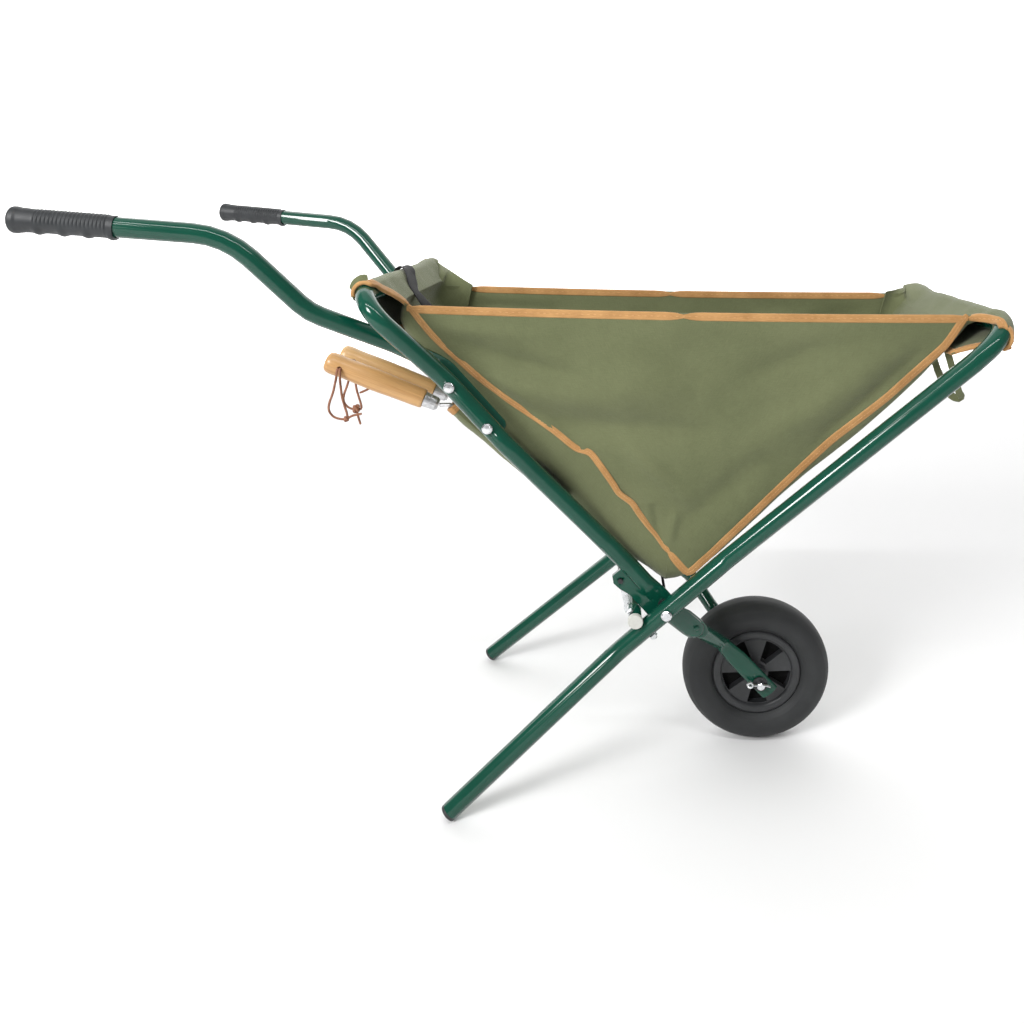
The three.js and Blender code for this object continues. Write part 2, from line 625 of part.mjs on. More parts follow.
function addBag() {
  add('rear_sleeve', sleeve(rear, REAR_SLEEVE_HALF), 'canvas');
  add('front_sleeve', sleeve(leg, FRONT_SLEEVE_HALF), 'canvas');
  const rearPanel = slab(rear, { r: PANEL_START, n: 13 }, { r: ARM - 20, n: 14 }, BAG_HALF);
  const frontPanel = slab(leg, { r: PANEL_START, n: 13 }, { r: ARM - 22, n: 20 }, BAG_HALF - 1);
  add('bag_rear_panel', rearPanel, 'canvas');
  add('bag_front_panel', frontPanel, 'canvas');
  add('bag_bottom', bagBottom(), 'canvas');
  for (const [name, side] of Object.entries(SIDES)) add(`bag_side_${name}`, bagSide(side), 'canvas');
  add('tool_pocket', pocket(), 'canvas');
}

// ---- garden tools in the pocket -----------------------------------------------------------------
const TOOL_LENGTH = 146;          // end of the wood to the end of the ferrule
const FERRULE = 18;
const EYE = 21;                   // the hole for the thong, from the end of the wood
const TOOLS = {
  trowel: { y: -99, socket: { r: 365, n: -47.5 }, blade: trowelBlade },
  hand_fork: { y: -52, socket: { r: 363, n: -45 }, blade: forkHead },
};
const TOOL_TILT = rad(153);       // direction of a tool's wood in the rear frame's plane, from +r

// A turned wooden handle along +Y, its ferrule end at y = 0, with a hole through its thick end.
function woodHandle() {
  const length = TOOL_LENGTH - FERRULE - GAP;
  const wood = lathe([
    [0, 0], [11.2, 0], [12.2, 3], [12.5, 34], [13.4, 62], [13.1, 88], [12.8, 104], [13.5, length - 12],
    [12.4, length - 4], [8.5, length - 0.8], [0, length],
  ]);
  return cut(wood, hole(v(0, length - EYE, 0), v(0, 0, 1), 3, 40));
}

function ferrule() {
  const socket = lathe([[0, 0], [6.2, 0], [8.4, 3], [9.4, FERRULE], [0, FERRULE]], 20);
  const rivet = aim(lathe([[0, -1], [2.2, -1], [2.2, 0.4], [0, 1.2]], 12), v(0, 10, 8.8), v(0, 0, 1));
  return join(socket, rivet);
}

// Where the steel of a tool runs inside the pocket, from its socket down to the tip.
function toolSpine(y, socket) {
  return [
    rear.at(socket.r - 1.5, y, socket.n + 1), rear.at(socket.r - 9, y, -37.2),
    rear.at(334, y, -31), rear.at(318, y, -26), rear.at(300, y, -23.4), rear.at(255, y, -16.5),
    rear.at(222, y, -11.6), rear.at(203, y, -8.6),
  ];
}

function trowelBlade(y, socket) {
  const halfWidths = [3.5, 3.5, 4, 16, 22, 21, 14, 3];
  return sweep(toolSpine(y, socket), Y, (fromStart, toEnd, i) =>
    [halfWidths[i], halfWidths[i] > 8 ? 1.6 : 2.6], 12);
}

function forkHead(y, socket) {
  const spine = toolSpine(y, socket);
  const neck = sweep(spine.slice(0, 4), Y, round(2.8), 8);
  const shoulder = sweep([spine[3].clone().add(v(0, -20, 0)), spine[3].clone().add(v(0, 20, 0))], rear.normal,
    round(2.8), 8);
  const tines = [-18, 0, 18].map((offset) =>
    sweep(spine.slice(3).map((point) => point.clone().add(v(0, offset, 0))), Y,
      (fromStart, toEnd) => [mix(0.8, 2.4, Math.min(1, toEnd / 20)), 2.2], 8));
  return join(neck, shoulder, ...tines);
}

// A leather thong that hangs in a loop, with both its ends at the mouth of the handle's hole.
const THONG = 1.1;
function thongRoute(eye) {
  const offsets = [
    [-1.5, -15, 0.3], [-1.9, -16.4, -2.6], [-2.6, -17, -8], [-3.8, -17, -14],
    [-7.5, -17, -28], [-13, -16, -42], [-13.8, -15, -51], [-8.8, -14, -58.5], [0, -13.5, -61.5],
    [7, -13.5, -60.5], [7.6, -14, -55], [5.4, -15, -45], [3, -16, -33], [1.8, -16.8, -16],
    [1.7, -17, -8], [1.7, -16.4, -2.6], [1.5, -15, 0.3],
  ];
  return offsets.map(([x, y, z]) => eye.clone().add(v(x, y, z)));
}

function addTool(name, { y, socket, blade }) {
  const heading = rear.along.clone().multiplyScalar(-Math.cos(TOOL_TILT))
    .addScaledVector(rear.normal, -Math.sin(TOOL_TILT));
  const end = rear.at(socket.r, y, socket.n);
  add(`${name}_ferrule`, aim(ferrule(), end, heading), 'steel');
  const woodStart = end.clone().addScaledVector(heading, FERRULE + GAP);
  add(`${name}_handle`, aim(woodHandle().rotateY(Math.PI / 2), woodStart, heading), 'wood');
  add(`${name}_blade`, blade(y, socket), 'steel');
  const eye = woodStart.clone().addScaledVector(heading, TOOL_LENGTH - FERRULE - GAP - EYE);
  const route = new THREE.CatmullRomCurve3(thongRoute(eye)).getSpacedPoints(34);
  add(`${name}_thong`, sweep(route, Y, round(THONG), 8), 'leather');
}

// ---- everything ---------------------------------------------------------------------------------
add('rear_frame', rearFrame(), 'paint');
add('leg_frame', legFrame(), 'paint');
addWheel();
addCrossBar();
addCatch();
addBag();
for (const [name, side] of Object.entries(SIDES)) {
  addHandle(name, side);
  addFork(name, side);
  addPivot(name, side);
  add(`foot_plug_${name}`, footPlug(side), 'black');
}
for (const [name, tool] of Object.entries(TOOLS)) addTool(name, tool);

const bounds = new THREE.Box3().setFromObject(assembly);
assembly.position.set(-(bounds.min.x + bounds.max.x) / 2, -(bounds.min.y + bounds.max.y) / 2, -bounds.min.z);

export default assembly;
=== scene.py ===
# Folding canvas wheelbarrow: the visible pieces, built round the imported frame.
# Metres, +X forward towards the wheel, +Y to the left of a person pushing it, +Z up.
import json
import math

import bmesh
import bpy
from mathutils import Matrix, Vector, noise

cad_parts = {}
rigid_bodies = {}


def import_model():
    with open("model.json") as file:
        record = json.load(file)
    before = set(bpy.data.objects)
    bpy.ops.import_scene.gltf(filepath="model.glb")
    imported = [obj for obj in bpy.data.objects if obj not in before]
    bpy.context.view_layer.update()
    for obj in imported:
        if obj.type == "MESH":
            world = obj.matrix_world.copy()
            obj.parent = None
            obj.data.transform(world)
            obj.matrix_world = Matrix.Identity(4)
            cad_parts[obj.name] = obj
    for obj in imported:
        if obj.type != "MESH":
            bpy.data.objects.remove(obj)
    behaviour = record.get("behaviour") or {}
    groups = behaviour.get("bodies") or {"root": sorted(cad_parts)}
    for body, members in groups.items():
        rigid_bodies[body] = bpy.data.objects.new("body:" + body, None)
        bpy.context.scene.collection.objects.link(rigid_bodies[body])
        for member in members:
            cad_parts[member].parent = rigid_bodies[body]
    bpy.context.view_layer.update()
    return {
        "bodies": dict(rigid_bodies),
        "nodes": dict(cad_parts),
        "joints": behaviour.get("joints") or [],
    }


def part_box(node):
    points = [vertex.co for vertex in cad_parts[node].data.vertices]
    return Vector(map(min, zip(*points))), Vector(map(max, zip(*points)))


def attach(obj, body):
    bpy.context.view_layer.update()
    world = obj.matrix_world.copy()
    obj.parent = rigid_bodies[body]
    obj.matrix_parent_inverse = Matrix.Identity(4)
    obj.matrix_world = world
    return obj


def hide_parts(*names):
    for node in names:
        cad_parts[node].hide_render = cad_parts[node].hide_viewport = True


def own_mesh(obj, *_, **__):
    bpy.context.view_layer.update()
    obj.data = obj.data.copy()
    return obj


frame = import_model()

# ---- places taken from the frame ----
MM = 0.001
JOINTS = {joint["name"]: joint for joint in frame["joints"]}
PIVOT = Vector(JOINTS["fold"]["pos_m"])
AXLE = Vector(JOINTS["wheel_spin"]["pos_m"])
ACROSS = Vector((0, 1, 0))
SIDES = {"right": -1, "left": 1}


def middle(node):
    low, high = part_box(node)
    return (low + high) / 2


class Plane:
    """A tube frame's own plane, in millimetres: r up from the pivot, y across, n towards the bag's inside."""

    def __init__(self, crossbar, inward):
        self.arm = (crossbar - PIVOT).length / MM
        self.along = (crossbar - PIVOT).normalized()
        self.normal = Vector((-self.along.z, 0, self.along.x)) * inward

    def at(self, r, y, n=0.0):
        return PIVOT + (self.along * r + ACROSS * y + self.normal * n) * MM


REAR = Plane(middle("rear_sleeve"), -1)
LEG = Plane(middle("front_sleeve"), 1)
TUBE = 11
BISECTOR = (REAR.along + LEG.along).normalized()


# ---- camera ----
def make_camera():
    data = bpy.data.cameras.new("camera")
    data.sensor_width = 36
    data.lens = 29.883
    data.shift_x = -0.0719
    data.shift_y = -0.1876
    camera = bpy.data.objects.new("camera", data)
    bpy.context.scene.collection.objects.link(camera)
    camera.location = (0.083716, -1.1054, 0.7421)
    camera.rotation_euler = (math.radians(90 - 8.138), 0, math.radians(1.859))
    bpy.context.scene.camera = camera


make_camera()


# ---- curves in code ----
def spline(points, count, tension=0.5):
    """`count` evenly spaced points on a smooth curve through the points."""
    points = [Vector(p) for p in points]
    ends = [2 * points[0] - points[1], *points, 2 * points[-1] - points[-2]]
    dense = []
    steps = 24
    for i in range(1, len(ends) - 2):
        a, b, c, d = ends[i - 1:i + 3]
        for k in range(steps):
            t = k / steps
            start, finish = (c - a) * tension, (d - b) * tension
            dense.append(b * (2 * t**3 - 3 * t**2 + 1) + start * (t**3 - 2 * t**2 + t)
                         + c * (3 * t**2 - 2 * t**3) + finish * (t**3 - t**2))
    dense.append(points[-1])
    return spaced(dense, count)


def spaced(dense, count):
    run = [0.0]
    for a, b in zip(dense, dense[1:]):
        run.append(run[-1] + (b - a).length)
    result, k = [], 0
    for i in range(count):
        target = run[-1] * i / (count - 1)
        while k < len(run) - 2 and run[k + 1] < target:
            k += 1
        share = (target - run[k]) / max(run[k + 1] - run[k], 1e-12)
        result.append(dense[k].lerp(dense[k + 1], min(1.0, share)))
    return result


def heading(path, i):
    """The direction of a path at its point i."""
    return (path[min(i + 1, len(path) - 1)] - path[max(i - 1, 0)]).normalized()


def square_to(axis, vector):
    """The unit direction of a vector's part that is square to an axis."""
    return (vector - axis * vector.dot(axis)).normalized()


def mix(a, b, t):
    return a + (b - a) * t


def smooth(low, high, value):
    t = min(1.0, max(0.0, (value - low) / (high - low)))
    return t * t * (3 - 2 * t)


# ---- material nodes ----
class Surface:
    """A node material built round one Principled shader."""

    def __init__(self, name, **sockets):
        self.material = bpy.data.materials.new(name)
        self.material.use_nodes = True
        self.tree = self.material.node_tree
        self.shader = self.tree.nodes["Principled BSDF"]
        for socket, value in sockets.items():
            self.shader.inputs[socket.replace("_", " ")].default_value = value
        self.coordinates = self.node("TexCoord")
        self.height = None

    def node(self, kind, **settings):
        made = self.tree.nodes.new("ShaderNode" + kind)
        for key, value in settings.items():
            setattr(made, key, value)
        return made

    def link(self, output, target):
        self.tree.links.new(output, target)

    def give(self, target, value):
        if isinstance(value, bpy.types.NodeSocket):
            self.link(value, target)
        else:
            target.default_value = value

    def place(self, scale=(1, 1, 1), space="Object", turn=(0, 0, 0)):
        mapping = self.node("Mapping")
        mapping.inputs["Scale"].default_value = scale
        mapping.inputs["Rotation"].default_value = [math.radians(a) for a in turn]
        self.link(self.coordinates.outputs[space], mapping.inputs["Vector"])
        return mapping.outputs["Vector"]

    def noise(self, scale, detail=3, roughness=0.5, vector=None, distortion=0.0):
        made = self.node("TexNoise")
        made.inputs["Scale"].default_value = scale
        made.inputs["Detail"].default_value = detail
        made.inputs["Roughness"].default_value = roughness
        made.inputs["Distortion"].default_value = distortion
        self.link(vector or self.coordinates.outputs["Object"], made.inputs["Vector"])
        return made.outputs["Fac"]

    def math(self, operation, a, b=0.0):
        made = self.node("Math", operation=operation)
        self.give(made.inputs[0], a)
        self.give(made.inputs[1], b)
        return made.outputs[0]

    def ramp(self, factor, *stops):
        made = self.node("ValToRGB")
        elements = made.color_ramp.elements
        while len(elements) < len(stops):
            elements.new(0.5)
        for element, (place, color) in zip(elements, stops):
            element.position = place
            element.color = (*color, 1) if not isinstance(color, float) else (color,) * 3 + (1,)
        self.link(factor, made.inputs["Fac"])
        return made.outputs["Color"]

    def blend(self, factor, a, b, mode="MIX"):
        made = self.node("Mix", data_type="RGBA", blend_type=mode)
        self.give(made.inputs["Factor"], factor)
        for socket, value in ((made.inputs[6], a), (made.inputs[7], b)):
            self.give(socket, (*value, 1) if isinstance(value, tuple) else value)
        return made.outputs[2]

    def color(self, value):
        self.link(value, self.shader.inputs["Base Color"])

    def rough(self, factor, low, high):
        made = self.node("MapRange")
        made.inputs["To Min"].default_value = low
        made.inputs["To Max"].default_value = high
        self.link(factor, made.inputs["Value"])
        self.link(made.outputs["Result"], self.shader.inputs["Roughness"])

    def bump(self, height, strength, depth):
        made = self.node("Bump")
        made.inputs["Strength"].default_value = strength
        made.inputs["Distance"].default_value = depth
        self.link(height, made.inputs["Height"])
        if self.height:
            self.link(self.height, made.inputs["Normal"])
        self.height = made.outputs["Normal"]
        self.link(self.height, self.shader.inputs["Normal"])


def paint_material():
    s = Surface("green_paint", Coat_Weight=0.6, Coat_Roughness=0.04, Specular_IOR_Level=0.15)
    s.color(s.ramp(s.noise(9, 4), (0.3, (0.002, 0.052, 0.031)), (0.7, (0.004, 0.068, 0.042))))
    s.rough(s.noise(45, 5, 0.65), 0.14, 0.26)
    s.bump(s.noise(900, 2), 0.05, 0.0003)
    s.bump(s.noise(60, 2), 0.12, 0.0004)
    return s.material


def metal_material(name, bright, dull, low, high, grain=(1, 1, 1)):
    s = Surface(name, Metallic=1.0)
    streaks = s.noise(260, 4, 0.6, s.place(grain))
    s.color(s.ramp(streaks, (0.3, dull), (0.7, bright)))
    s.rough(s.noise(120, 4, 0.7), low, high)
    s.bump(streaks, 0.12, 0.0002)
    return s.material


def molded_material(name, dark, light, low, high, grain, depth, specular=0.5):
    s = Surface(name, Specular_IOR_Level=specular)
    s.color(s.ramp(s.noise(35, 5, 0.6), (0.3, dark), (0.75, light)))
    s.rough(s.noise(70, 4, 0.6), low, high)
    s.bump(s.noise(grain, 3, 0.6), 0.35, depth)
    return s.material


def weave(s, pitch, depth):
    """The threads of a plain weave over a UV map in metres."""
    apart = s.node("SeparateXYZ")
    s.link(s.coordinates.outputs["UV"], apart.inputs[0])
    turns = [s.math("MULTIPLY", apart.outputs[i], math.pi / pitch) for i in (0, 1)]
    warp, weft = (s.math("SINE", turn) for turn in turns)
    threads = s.math("ABSOLUTE", s.math("MULTIPLY", warp, weft))
    s.bump(threads, 0.5, depth)


def canvas_material(name="canvas", dark=(0.140, 0.158, 0.074), light=(0.190, 0.208, 0.104)):
    s = Surface(name, Sheen_Weight=0.25, Sheen_Roughness=0.45, Specular_IOR_Level=0.25)
    uv = s.coordinates.outputs["UV"]
    clouds = s.noise(7, 5, 0.6)
    slubs = s.noise(1, 3, 0.6, s.place((90, 1400, 1), "UV"))
    slubs_across = s.noise(1, 3, 0.6, s.place((1400, 90, 1), "UV"))
    tone = s.ramp(clouds, (0.3, dark), (0.72, light))
    thread = s.math("ADD", s.math("MULTIPLY", slubs, 0.5), s.math("MULTIPLY", slubs_across, 0.5))
    tone = s.blend(0.55, tone, s.ramp(thread, (0.35, 0.62), (0.65, 1.0)), "MULTIPLY")
    s.color(s.blend(0.3, tone, s.ramp(s.noise(900, 2, 0.5, uv), (0.3, 0.7), (0.7, 1.0)), "MULTIPLY"))
    s.rough(clouds, 0.72, 0.92)
    s.bump(s.noise(16, 4, 0.55), 0.5, 0.004)
    s.bump(thread, 0.3, 0.0004)
    weave(s, 0.0009, 0.0003)
    return s.material


def tape_material(name, dark, light, sheen=0.3):
    s = Surface(name, Sheen_Weight=sheen, Sheen_Roughness=0.4, Specular_IOR_Level=0.25)
    ribs = s.noise(1, 2, 0.5, s.place((1300, 60, 1), "UV", (0, 0, 35)))
    patches = s.noise(28, 4, 0.6)
    s.color(s.blend(0.5, s.ramp(patches, (0.3, dark), (0.7, light)), s.ramp(ribs, (0.3, 0.6), (0.7, 1.0)),
                    "MULTIPLY"))
    s.rough(patches, 0.65, 0.85)
    s.bump(ribs, 0.5, 0.0004)
    s.bump(s.noise(130, 3), 0.35, 0.0009)
    return s.material


def wood_material(name, dark, light, shift):
    s = Surface(name, Coat_Weight=0.3, Coat_Roughness=0.2, Specular_IOR_Level=0.45)
    where = s.place((1, 0.05, 1))
    where.node.inputs["Location"].default_value = (shift, shift, 0)
    bands = s.noise(95, 3, 0.5, where, 1.2)
    pores = s.noise(1, 4, 0.65, s.place((1500, 45, 1500)))
    tone = s.ramp(bands, (0.32, dark), (0.68, light))
    s.color(s.blend(0.35, tone, s.ramp(pores, (0.36, 0.62), (0.6, 1.0)), "MULTIPLY"))
    s.rough(pores, 0.3, 0.5)
    s.bump(pores, 0.12, 0.0003)
    return s.material


def leather_material():
    s = Surface("thong_leather", Specular_IOR_Level=0.3)
    grain = s.noise(700, 4, 0.6)
    s.color(s.ramp(s.noise(150, 4), (0.3, (0.20, 0.080, 0.045)), (0.7, (0.38, 0.180, 0.110))))
    s.rough(grain, 0.55, 0.8)
    s.bump(grain, 0.4, 0.0004)
    return s.material


def floor_material():
    s = Surface("floor", Specular_IOR_Level=0.2)
    s.color(s.ramp(s.noise(1.2, 3), (0.3, (0.86, 0.86, 0.86)), (0.7, (0.88, 0.88, 0.88))))
    s.rough(s.noise(4, 3), 0.7, 0.8)
    return s.material


PAINT = paint_material()
ZINC = metal_material("zinc_steel", (0.86, 0.87, 0.88), (0.60, 0.61, 0.63), 0.16, 0.34)
TOOL_STEEL = metal_material("tool_steel", (0.70, 0.70, 0.71), (0.42, 0.42, 0.43), 0.3, 0.5, (1, 0.1, 1))
BLACK_STEEL = molded_material(
    "black_steel", (0.012, 0.012, 0.013), (0.03, 0.03, 0.032), 0.3, 0.5, 500, 0.0002)
GRIP = molded_material(
    "grip_rubber", (0.014, 0.016, 0.018), (0.026, 0.029, 0.032), 0.38, 0.58, 1500, 0.0003)
TYRE = molded_material(
    "tyre_rubber", (0.019, 0.020, 0.021), (0.029, 0.031, 0.032), 0.5, 0.72, 1100, 0.0003, 0.4)
PLASTIC = molded_material(
    "wheel_plastic", (0.020, 0.021, 0.022), (0.034, 0.036, 0.039), 0.34, 0.5, 900, 0.0002)
# Near-black matt material for the disc seen through the wheel's windows: painted shade inside the wheel.
WINDOW_SHADE = molded_material(
    "wheel_window_shade", (0.004, 0.004, 0.004), (0.008, 0.008, 0.008), 0.7, 0.9, 900, 0.0002, 0.1)
CAP = molded_material("cap_plastic", (0.52, 0.52, 0.48), (0.64, 0.64, 0.60), 0.35, 0.5, 700, 0.0002)
CANVAS = canvas_material()
TAPE = tape_material("binding_tape", (0.42, 0.215, 0.075), (0.60, 0.330, 0.130))
THREAD = tape_material("stitch_thread", (0.50, 0.26, 0.10), (0.72, 0.42, 0.18))
WEBBING = tape_material("black_webbing", (0.006, 0.006, 0.007), (0.014, 0.014, 0.015), 0.05)
WOODS = {
    "trowel": wood_material("wood_trowel", (0.48, 0.245, 0.080), (0.62, 0.355, 0.140), 0.03),
    "hand_fork": wood_material("wood_hand_fork", (0.52, 0.300, 0.115), (0.66, 0.425, 0.190), 0.31),
}
LEATHER = leather_material()


# ---- meshes in code ----
def piece(name, mesh, body, material, replaces=(), matrix=None):
    """A new visible piece that rides on a body."""
    obj = bpy.data.objects.new(name, mesh)
    bpy.context.scene.collection.objects.link(obj)
    if matrix is not None:
        obj.matrix_world = matrix
    for each in material if isinstance(material, (list, tuple)) else [material]:
        mesh.materials.append(each)
    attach(obj, body)
    if replaces:
        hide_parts(*replaces)
    return obj


def soften(mesh, degrees=38):
    mesh.shade_smooth()
    mesh.set_sharp_from_angle(angle=math.radians(degrees))
    return mesh


def grid_mesh(name, rows, thickness=0.0, wrap=False, caps=False):
    """A sheet through rows of points, with a UV map in metres, thickened on both sides where asked."""
    bm = bmesh.new()
    uv = bm.loops.layers.uv.new("UVMap")
    made = [[bm.verts.new(p) for p in row] for row in rows]
    wide = len(rows[0])
    centre = wide // 2
    down = [0.0]
    for a, b in zip(rows, rows[1:]):
        down.append(down[-1] + (b[centre] - a[centre]).length)
    across = []
    for row in rows:
        steps = [0.0]
        for a, b in zip(row, [*row[1:], row[0]]):
            steps.append(steps[-1] + (b - a).length)
        across.append([x - steps[centre] for x in steps])
    for i in range(len(rows) - 1):
        for j in range(wide if wrap else wide - 1):
            k = (j + 1) % wide
            corners = [made[i][j], made[i][k], made[i + 1][k], made[i + 1][j]]
            if len({v.co.to_tuple(7) for v in corners}) < 3:
                continue
            face = bm.faces.new(corners)
            places = [(i, j), (i, j + 1), (i + 1, j + 1), (i + 1, j)]
            for loop, (row, column) in zip(face.loops, places):
                loop[uv].uv = (across[row][column], down[row])
    if caps:
        bm.faces.new(reversed(made[0]))
        bm.faces.new(made[-1])
    bmesh.ops.remove_doubles(bm, verts=bm.verts, dist=1e-6)
    bmesh.ops.recalc_face_normals(bm, faces=bm.faces)
    if thickness:
        thicken(bm, uv, thickness / 2)
    mesh = bpy.data.meshes.new(name)
    bm.to_mesh(mesh)
    bm.free()
    return soften(mesh)


def thicken(bm, uv, half):
    """Gives a sheet two faces and a closed edge, half a thickness each side of where it was."""
    bm.normal_update()
    rim = [(e.link_loops[0].vert, e.link_loops[0].link_loop_next.vert) for e in bm.edges if e.is_boundary]
    normals = {v: v.normal.copy() for v in bm.verts}
    twins = {v: bm.verts.new(v.co - n * half) for v, n in normals.items()}
    for face in bm.faces[:]:
        loops = list(face.loops)[::-1]
        back = bm.faces.new([twins[loop.vert] for loop in loops])
        for loop, source in zip(back.loops, loops):
            loop[uv].uv = source[uv].uv
    for a, b in rim:
        bm.faces.new((b, a, twins[a], twins[b]))
    for v, n in normals.items():
        v.co += n * half


def circle(sides):
    """The cosine and sine of each corner of a regular polygon."""
    turns = [2 * math.pi * k / sides for k in range(sides)]
    return [(math.cos(a), math.sin(a)) for a in turns]


def turned_mesh(name, outline, sides):
    """An outline of (radius, y), in millimetres, turned about +Y."""
    rows = [[Vector((r * c, y, r * s)) * MM for c, s in circle(sides)] for r, y in outline]
    return grid_mesh(name, rows, wrap=True)


def aimed(place, direction):
    """The matrix that lays a piece made along +Y along `direction`, with its origin at `place`."""
    turn = ACROSS.rotation_difference(direction.normalized()).to_matrix().to_4x4()
    return Matrix.Translation(place) @ turn


def cut_away(obj, *cutters):
    """Cuts each cutter object out of obj, for good, and deletes the cutters."""
    for cutter in cutters:
        modifier = obj.modifiers.new("cut", "BOOLEAN")
        modifier.object = cutter
        modifier.solver = "EXACT"
        bpy.context.view_layer.update()
        done = bpy.data.meshes.new_from_object(obj.evaluated_get(bpy.context.evaluated_depsgraph_get()))
        obj.modifiers.clear()
        obj.data = done
        bpy.data.objects.remove(cutter)
    soften(obj.data)


def cutter(mesh, matrix):
    obj = bpy.data.objects.new("cutter", mesh)
    bpy.context.scene.collection.objects.link(obj)
    obj.matrix_world = matrix
    return obj


# ---- thongs ----
# Where each tool's handle starts, in the rear frame's plane; both lean the same way.
TOOLS = {"trowel": {"y": -99, "r": 365, "n": -47.5}, "hand_fork": {"y": -52, "r": 363, "n": -45}}
TOOL_TILT = math.radians(153)
TOOL_HEADING = REAR.along * -math.cos(TOOL_TILT) - REAR.normal * math.sin(TOOL_TILT)
TOOL_LENGTH = 146
FERRULE = 18
EYE = 21
THONG = 1.45
# A thong's run from one side of its eye to the other, in millimetres from the eye.
THONG_ROUTE = [
    (-1.5, -15, 0.3), (-1.9, -16.4, -2.6), (-2.6, -17, -8), (-3.8, -17, -14),
    (-7.5, -17, -28), (-13, -16, -42), (-13.8, -15, -51), (-8.8, -14, -58.5), (0, -13.5, -61.5),
    (7, -13.5, -60.5), (7.6, -14, -55), (5.4, -15, -45), (3, -16, -33), (1.8, -16.8, -16),
    (1.7, -17, -8), (1.7, -16.4, -2.6), (1.5, -15, 0.3),
]


def tool_socket(tool):
    return REAR.at(tool["r"], tool["y"], tool["n"])


def knot(name, body, place, direction, size=1.0):
    """A tight overhand knot: one strand wound round another, and back over itself."""
    axis = direction.normalized()
    side = axis.orthogonal().normalized()
    up = axis.cross(side)
    path = []
    for k in range(49):
        angle = 2 * math.pi * k / 48
        reach = (2.0 + 0.9 * math.cos(3 * angle)) * size
        path.append(place + (side * (reach * math.cos(2 * angle)) + up * (reach * math.sin(2 * angle))
                             + axis * (1.7 * size * math.sin(3 * angle))) * MM)
    return thong_piece(name, path, THONG * size, body, 10)


def thong_piece(name, path, radius, body, sides, replaces=()):
    """A round strand of leather along a path, with its ends closed."""
    rows = []
    reference = (path[1] - path[0]).orthogonal().normalized()
    for i, centre in enumerate(path):
        ahead = heading(path, i)
        reference = square_to(ahead, reference)
        other = ahead.cross(reference)
        size = radius * MM * (0.75 if i in (0, len(path) - 1) else 1)
        rows.append([centre + (reference * c + other * s) * size for c, s in circle(sides)])
    mesh = grid_mesh(name, rows, wrap=True, caps=True)
    return piece(name, mesh, body, LEATHER, replaces)


# Each thong's knots and loose ends, in millimetres from its eye.
THONG_ENDS = {
    "trowel": {
        "knots": [((6.5, -13.5, -61), 1.0)],
        "tails": [[(7, -13.5, -61), (14, -12, -57.5), (24, -8, -56)]],
    },
    "hand_fork": {
        "knots": [((1.5, -15, -60), 1.45)],
        "tails": [
            [(2, -15, -61), (4, -16, -70), (7, -17, -80)],
            [(6, -13, -40), (16, -9, -36), (34, 2, -25)],
        ],
    },
}


def make_thongs():
    for name, tool in TOOLS.items():
        eye = tool_socket(tool) + TOOL_HEADING * ((TOOL_LENGTH - EYE) * MM)
        inside = [(x, -9, z) for x, _, z in (THONG_ROUTE[0], THONG_ROUTE[-1])]
        route = [inside[0], *THONG_ROUTE, inside[1]]
        points = spline([eye + Vector(p) * MM for p in route], 96)
        ends = THONG_ENDS[name]
        for i, (place, size) in enumerate(ends["knots"]):
            where = eye + Vector(place) * MM
            knot(f"{name}_knot_{i + 1}", name, where, Vector((1, 0.3, -0.1)), size)
        for i, tail in enumerate(ends["tails"]):
            path = spline([eye + Vector(p) * MM for p in tail], 12)
            thong_piece(f"{name}_thong_end_{i + 1}", path, THONG, name, 10)
        strand = thong_piece(f"{name}_thong_strand", points, THONG, name, 12, [f"{name}_thong"])


make_thongs()


# ---- floor and light ----
def area_light(name, place, target, size, power):
    data = bpy.data.lights.new(name, "AREA")
    data.shape = "RECTANGLE"
    data.size, data.size_y = size
    data.energy = power
    light = bpy.data.objects.new(name, data)
    bpy.context.scene.collection.objects.link(light)
    light.location = place
    light.rotation_euler = (Vector(target) - Vector(place)).to_track_quat("-Z", "Y").to_euler()


def backdrop_material():
    s = Surface("backdrop", Specular_IOR_Level=0.0, Emission_Strength=0.95)
    tone = s.ramp(s.noise(0.8, 2), (0.3, (0.99, 0.99, 0.99)), (0.7, (1.0, 1.0, 1.0)))
    s.color(tone)
    s.link(tone, s.shader.inputs["Emission Color"])
    return s.material


def make_studio():
    bpy.ops.mesh.primitive_plane_add(size=1, location=(0, -1.5, 0))
    floor = bpy.context.object
    floor.name = "floor"
    floor.scale = (16, 11, 1)
    floor.data.materials.append(floor_material())
    bpy.ops.mesh.primitive_plane_add(size=1, location=(0, 2.6, 2.5), rotation=(math.pi / 2, 0, 0))
    backdrop = bpy.context.object
    backdrop.name = "backdrop"
    backdrop.scale = (16, 6, 1)
    backdrop.data.materials.append(backdrop_material())
    world = bpy.data.worlds.new("studio")
    world.use_nodes = True
    world.node_tree.nodes["Background"].inputs["Color"].default_value = (1.0, 1.0, 1.0, 1)
    world.node_tree.nodes["Background"].inputs["Strength"].default_value = 0.24
    bpy.context.scene.world = world
    area_light("top", (0.0, 0.8, 3.0), (0, 0.8, 0), (4.0, 3.0), 24)
    area_light("key", (-1.7, -2.2, 1.8), (0, 0, 0.4), (0.8, 0.8), 72)
    area_light("strip", (0.0, -1.3, 2.3), (0, 0, 0.4), (3.2, 0.07), 26)
    bpy.context.scene.view_settings.view_transform = "Standard"


make_studio()


# ---- CAD nodes that stay ----
def give_material(material, *names):
    for name in names:
        node = frame["nodes"][name]
        node.data.materials.clear()
        node.data.materials.append(material)


def both(*patterns):
    return [pattern.format(side) for pattern in patterns for side in SIDES]


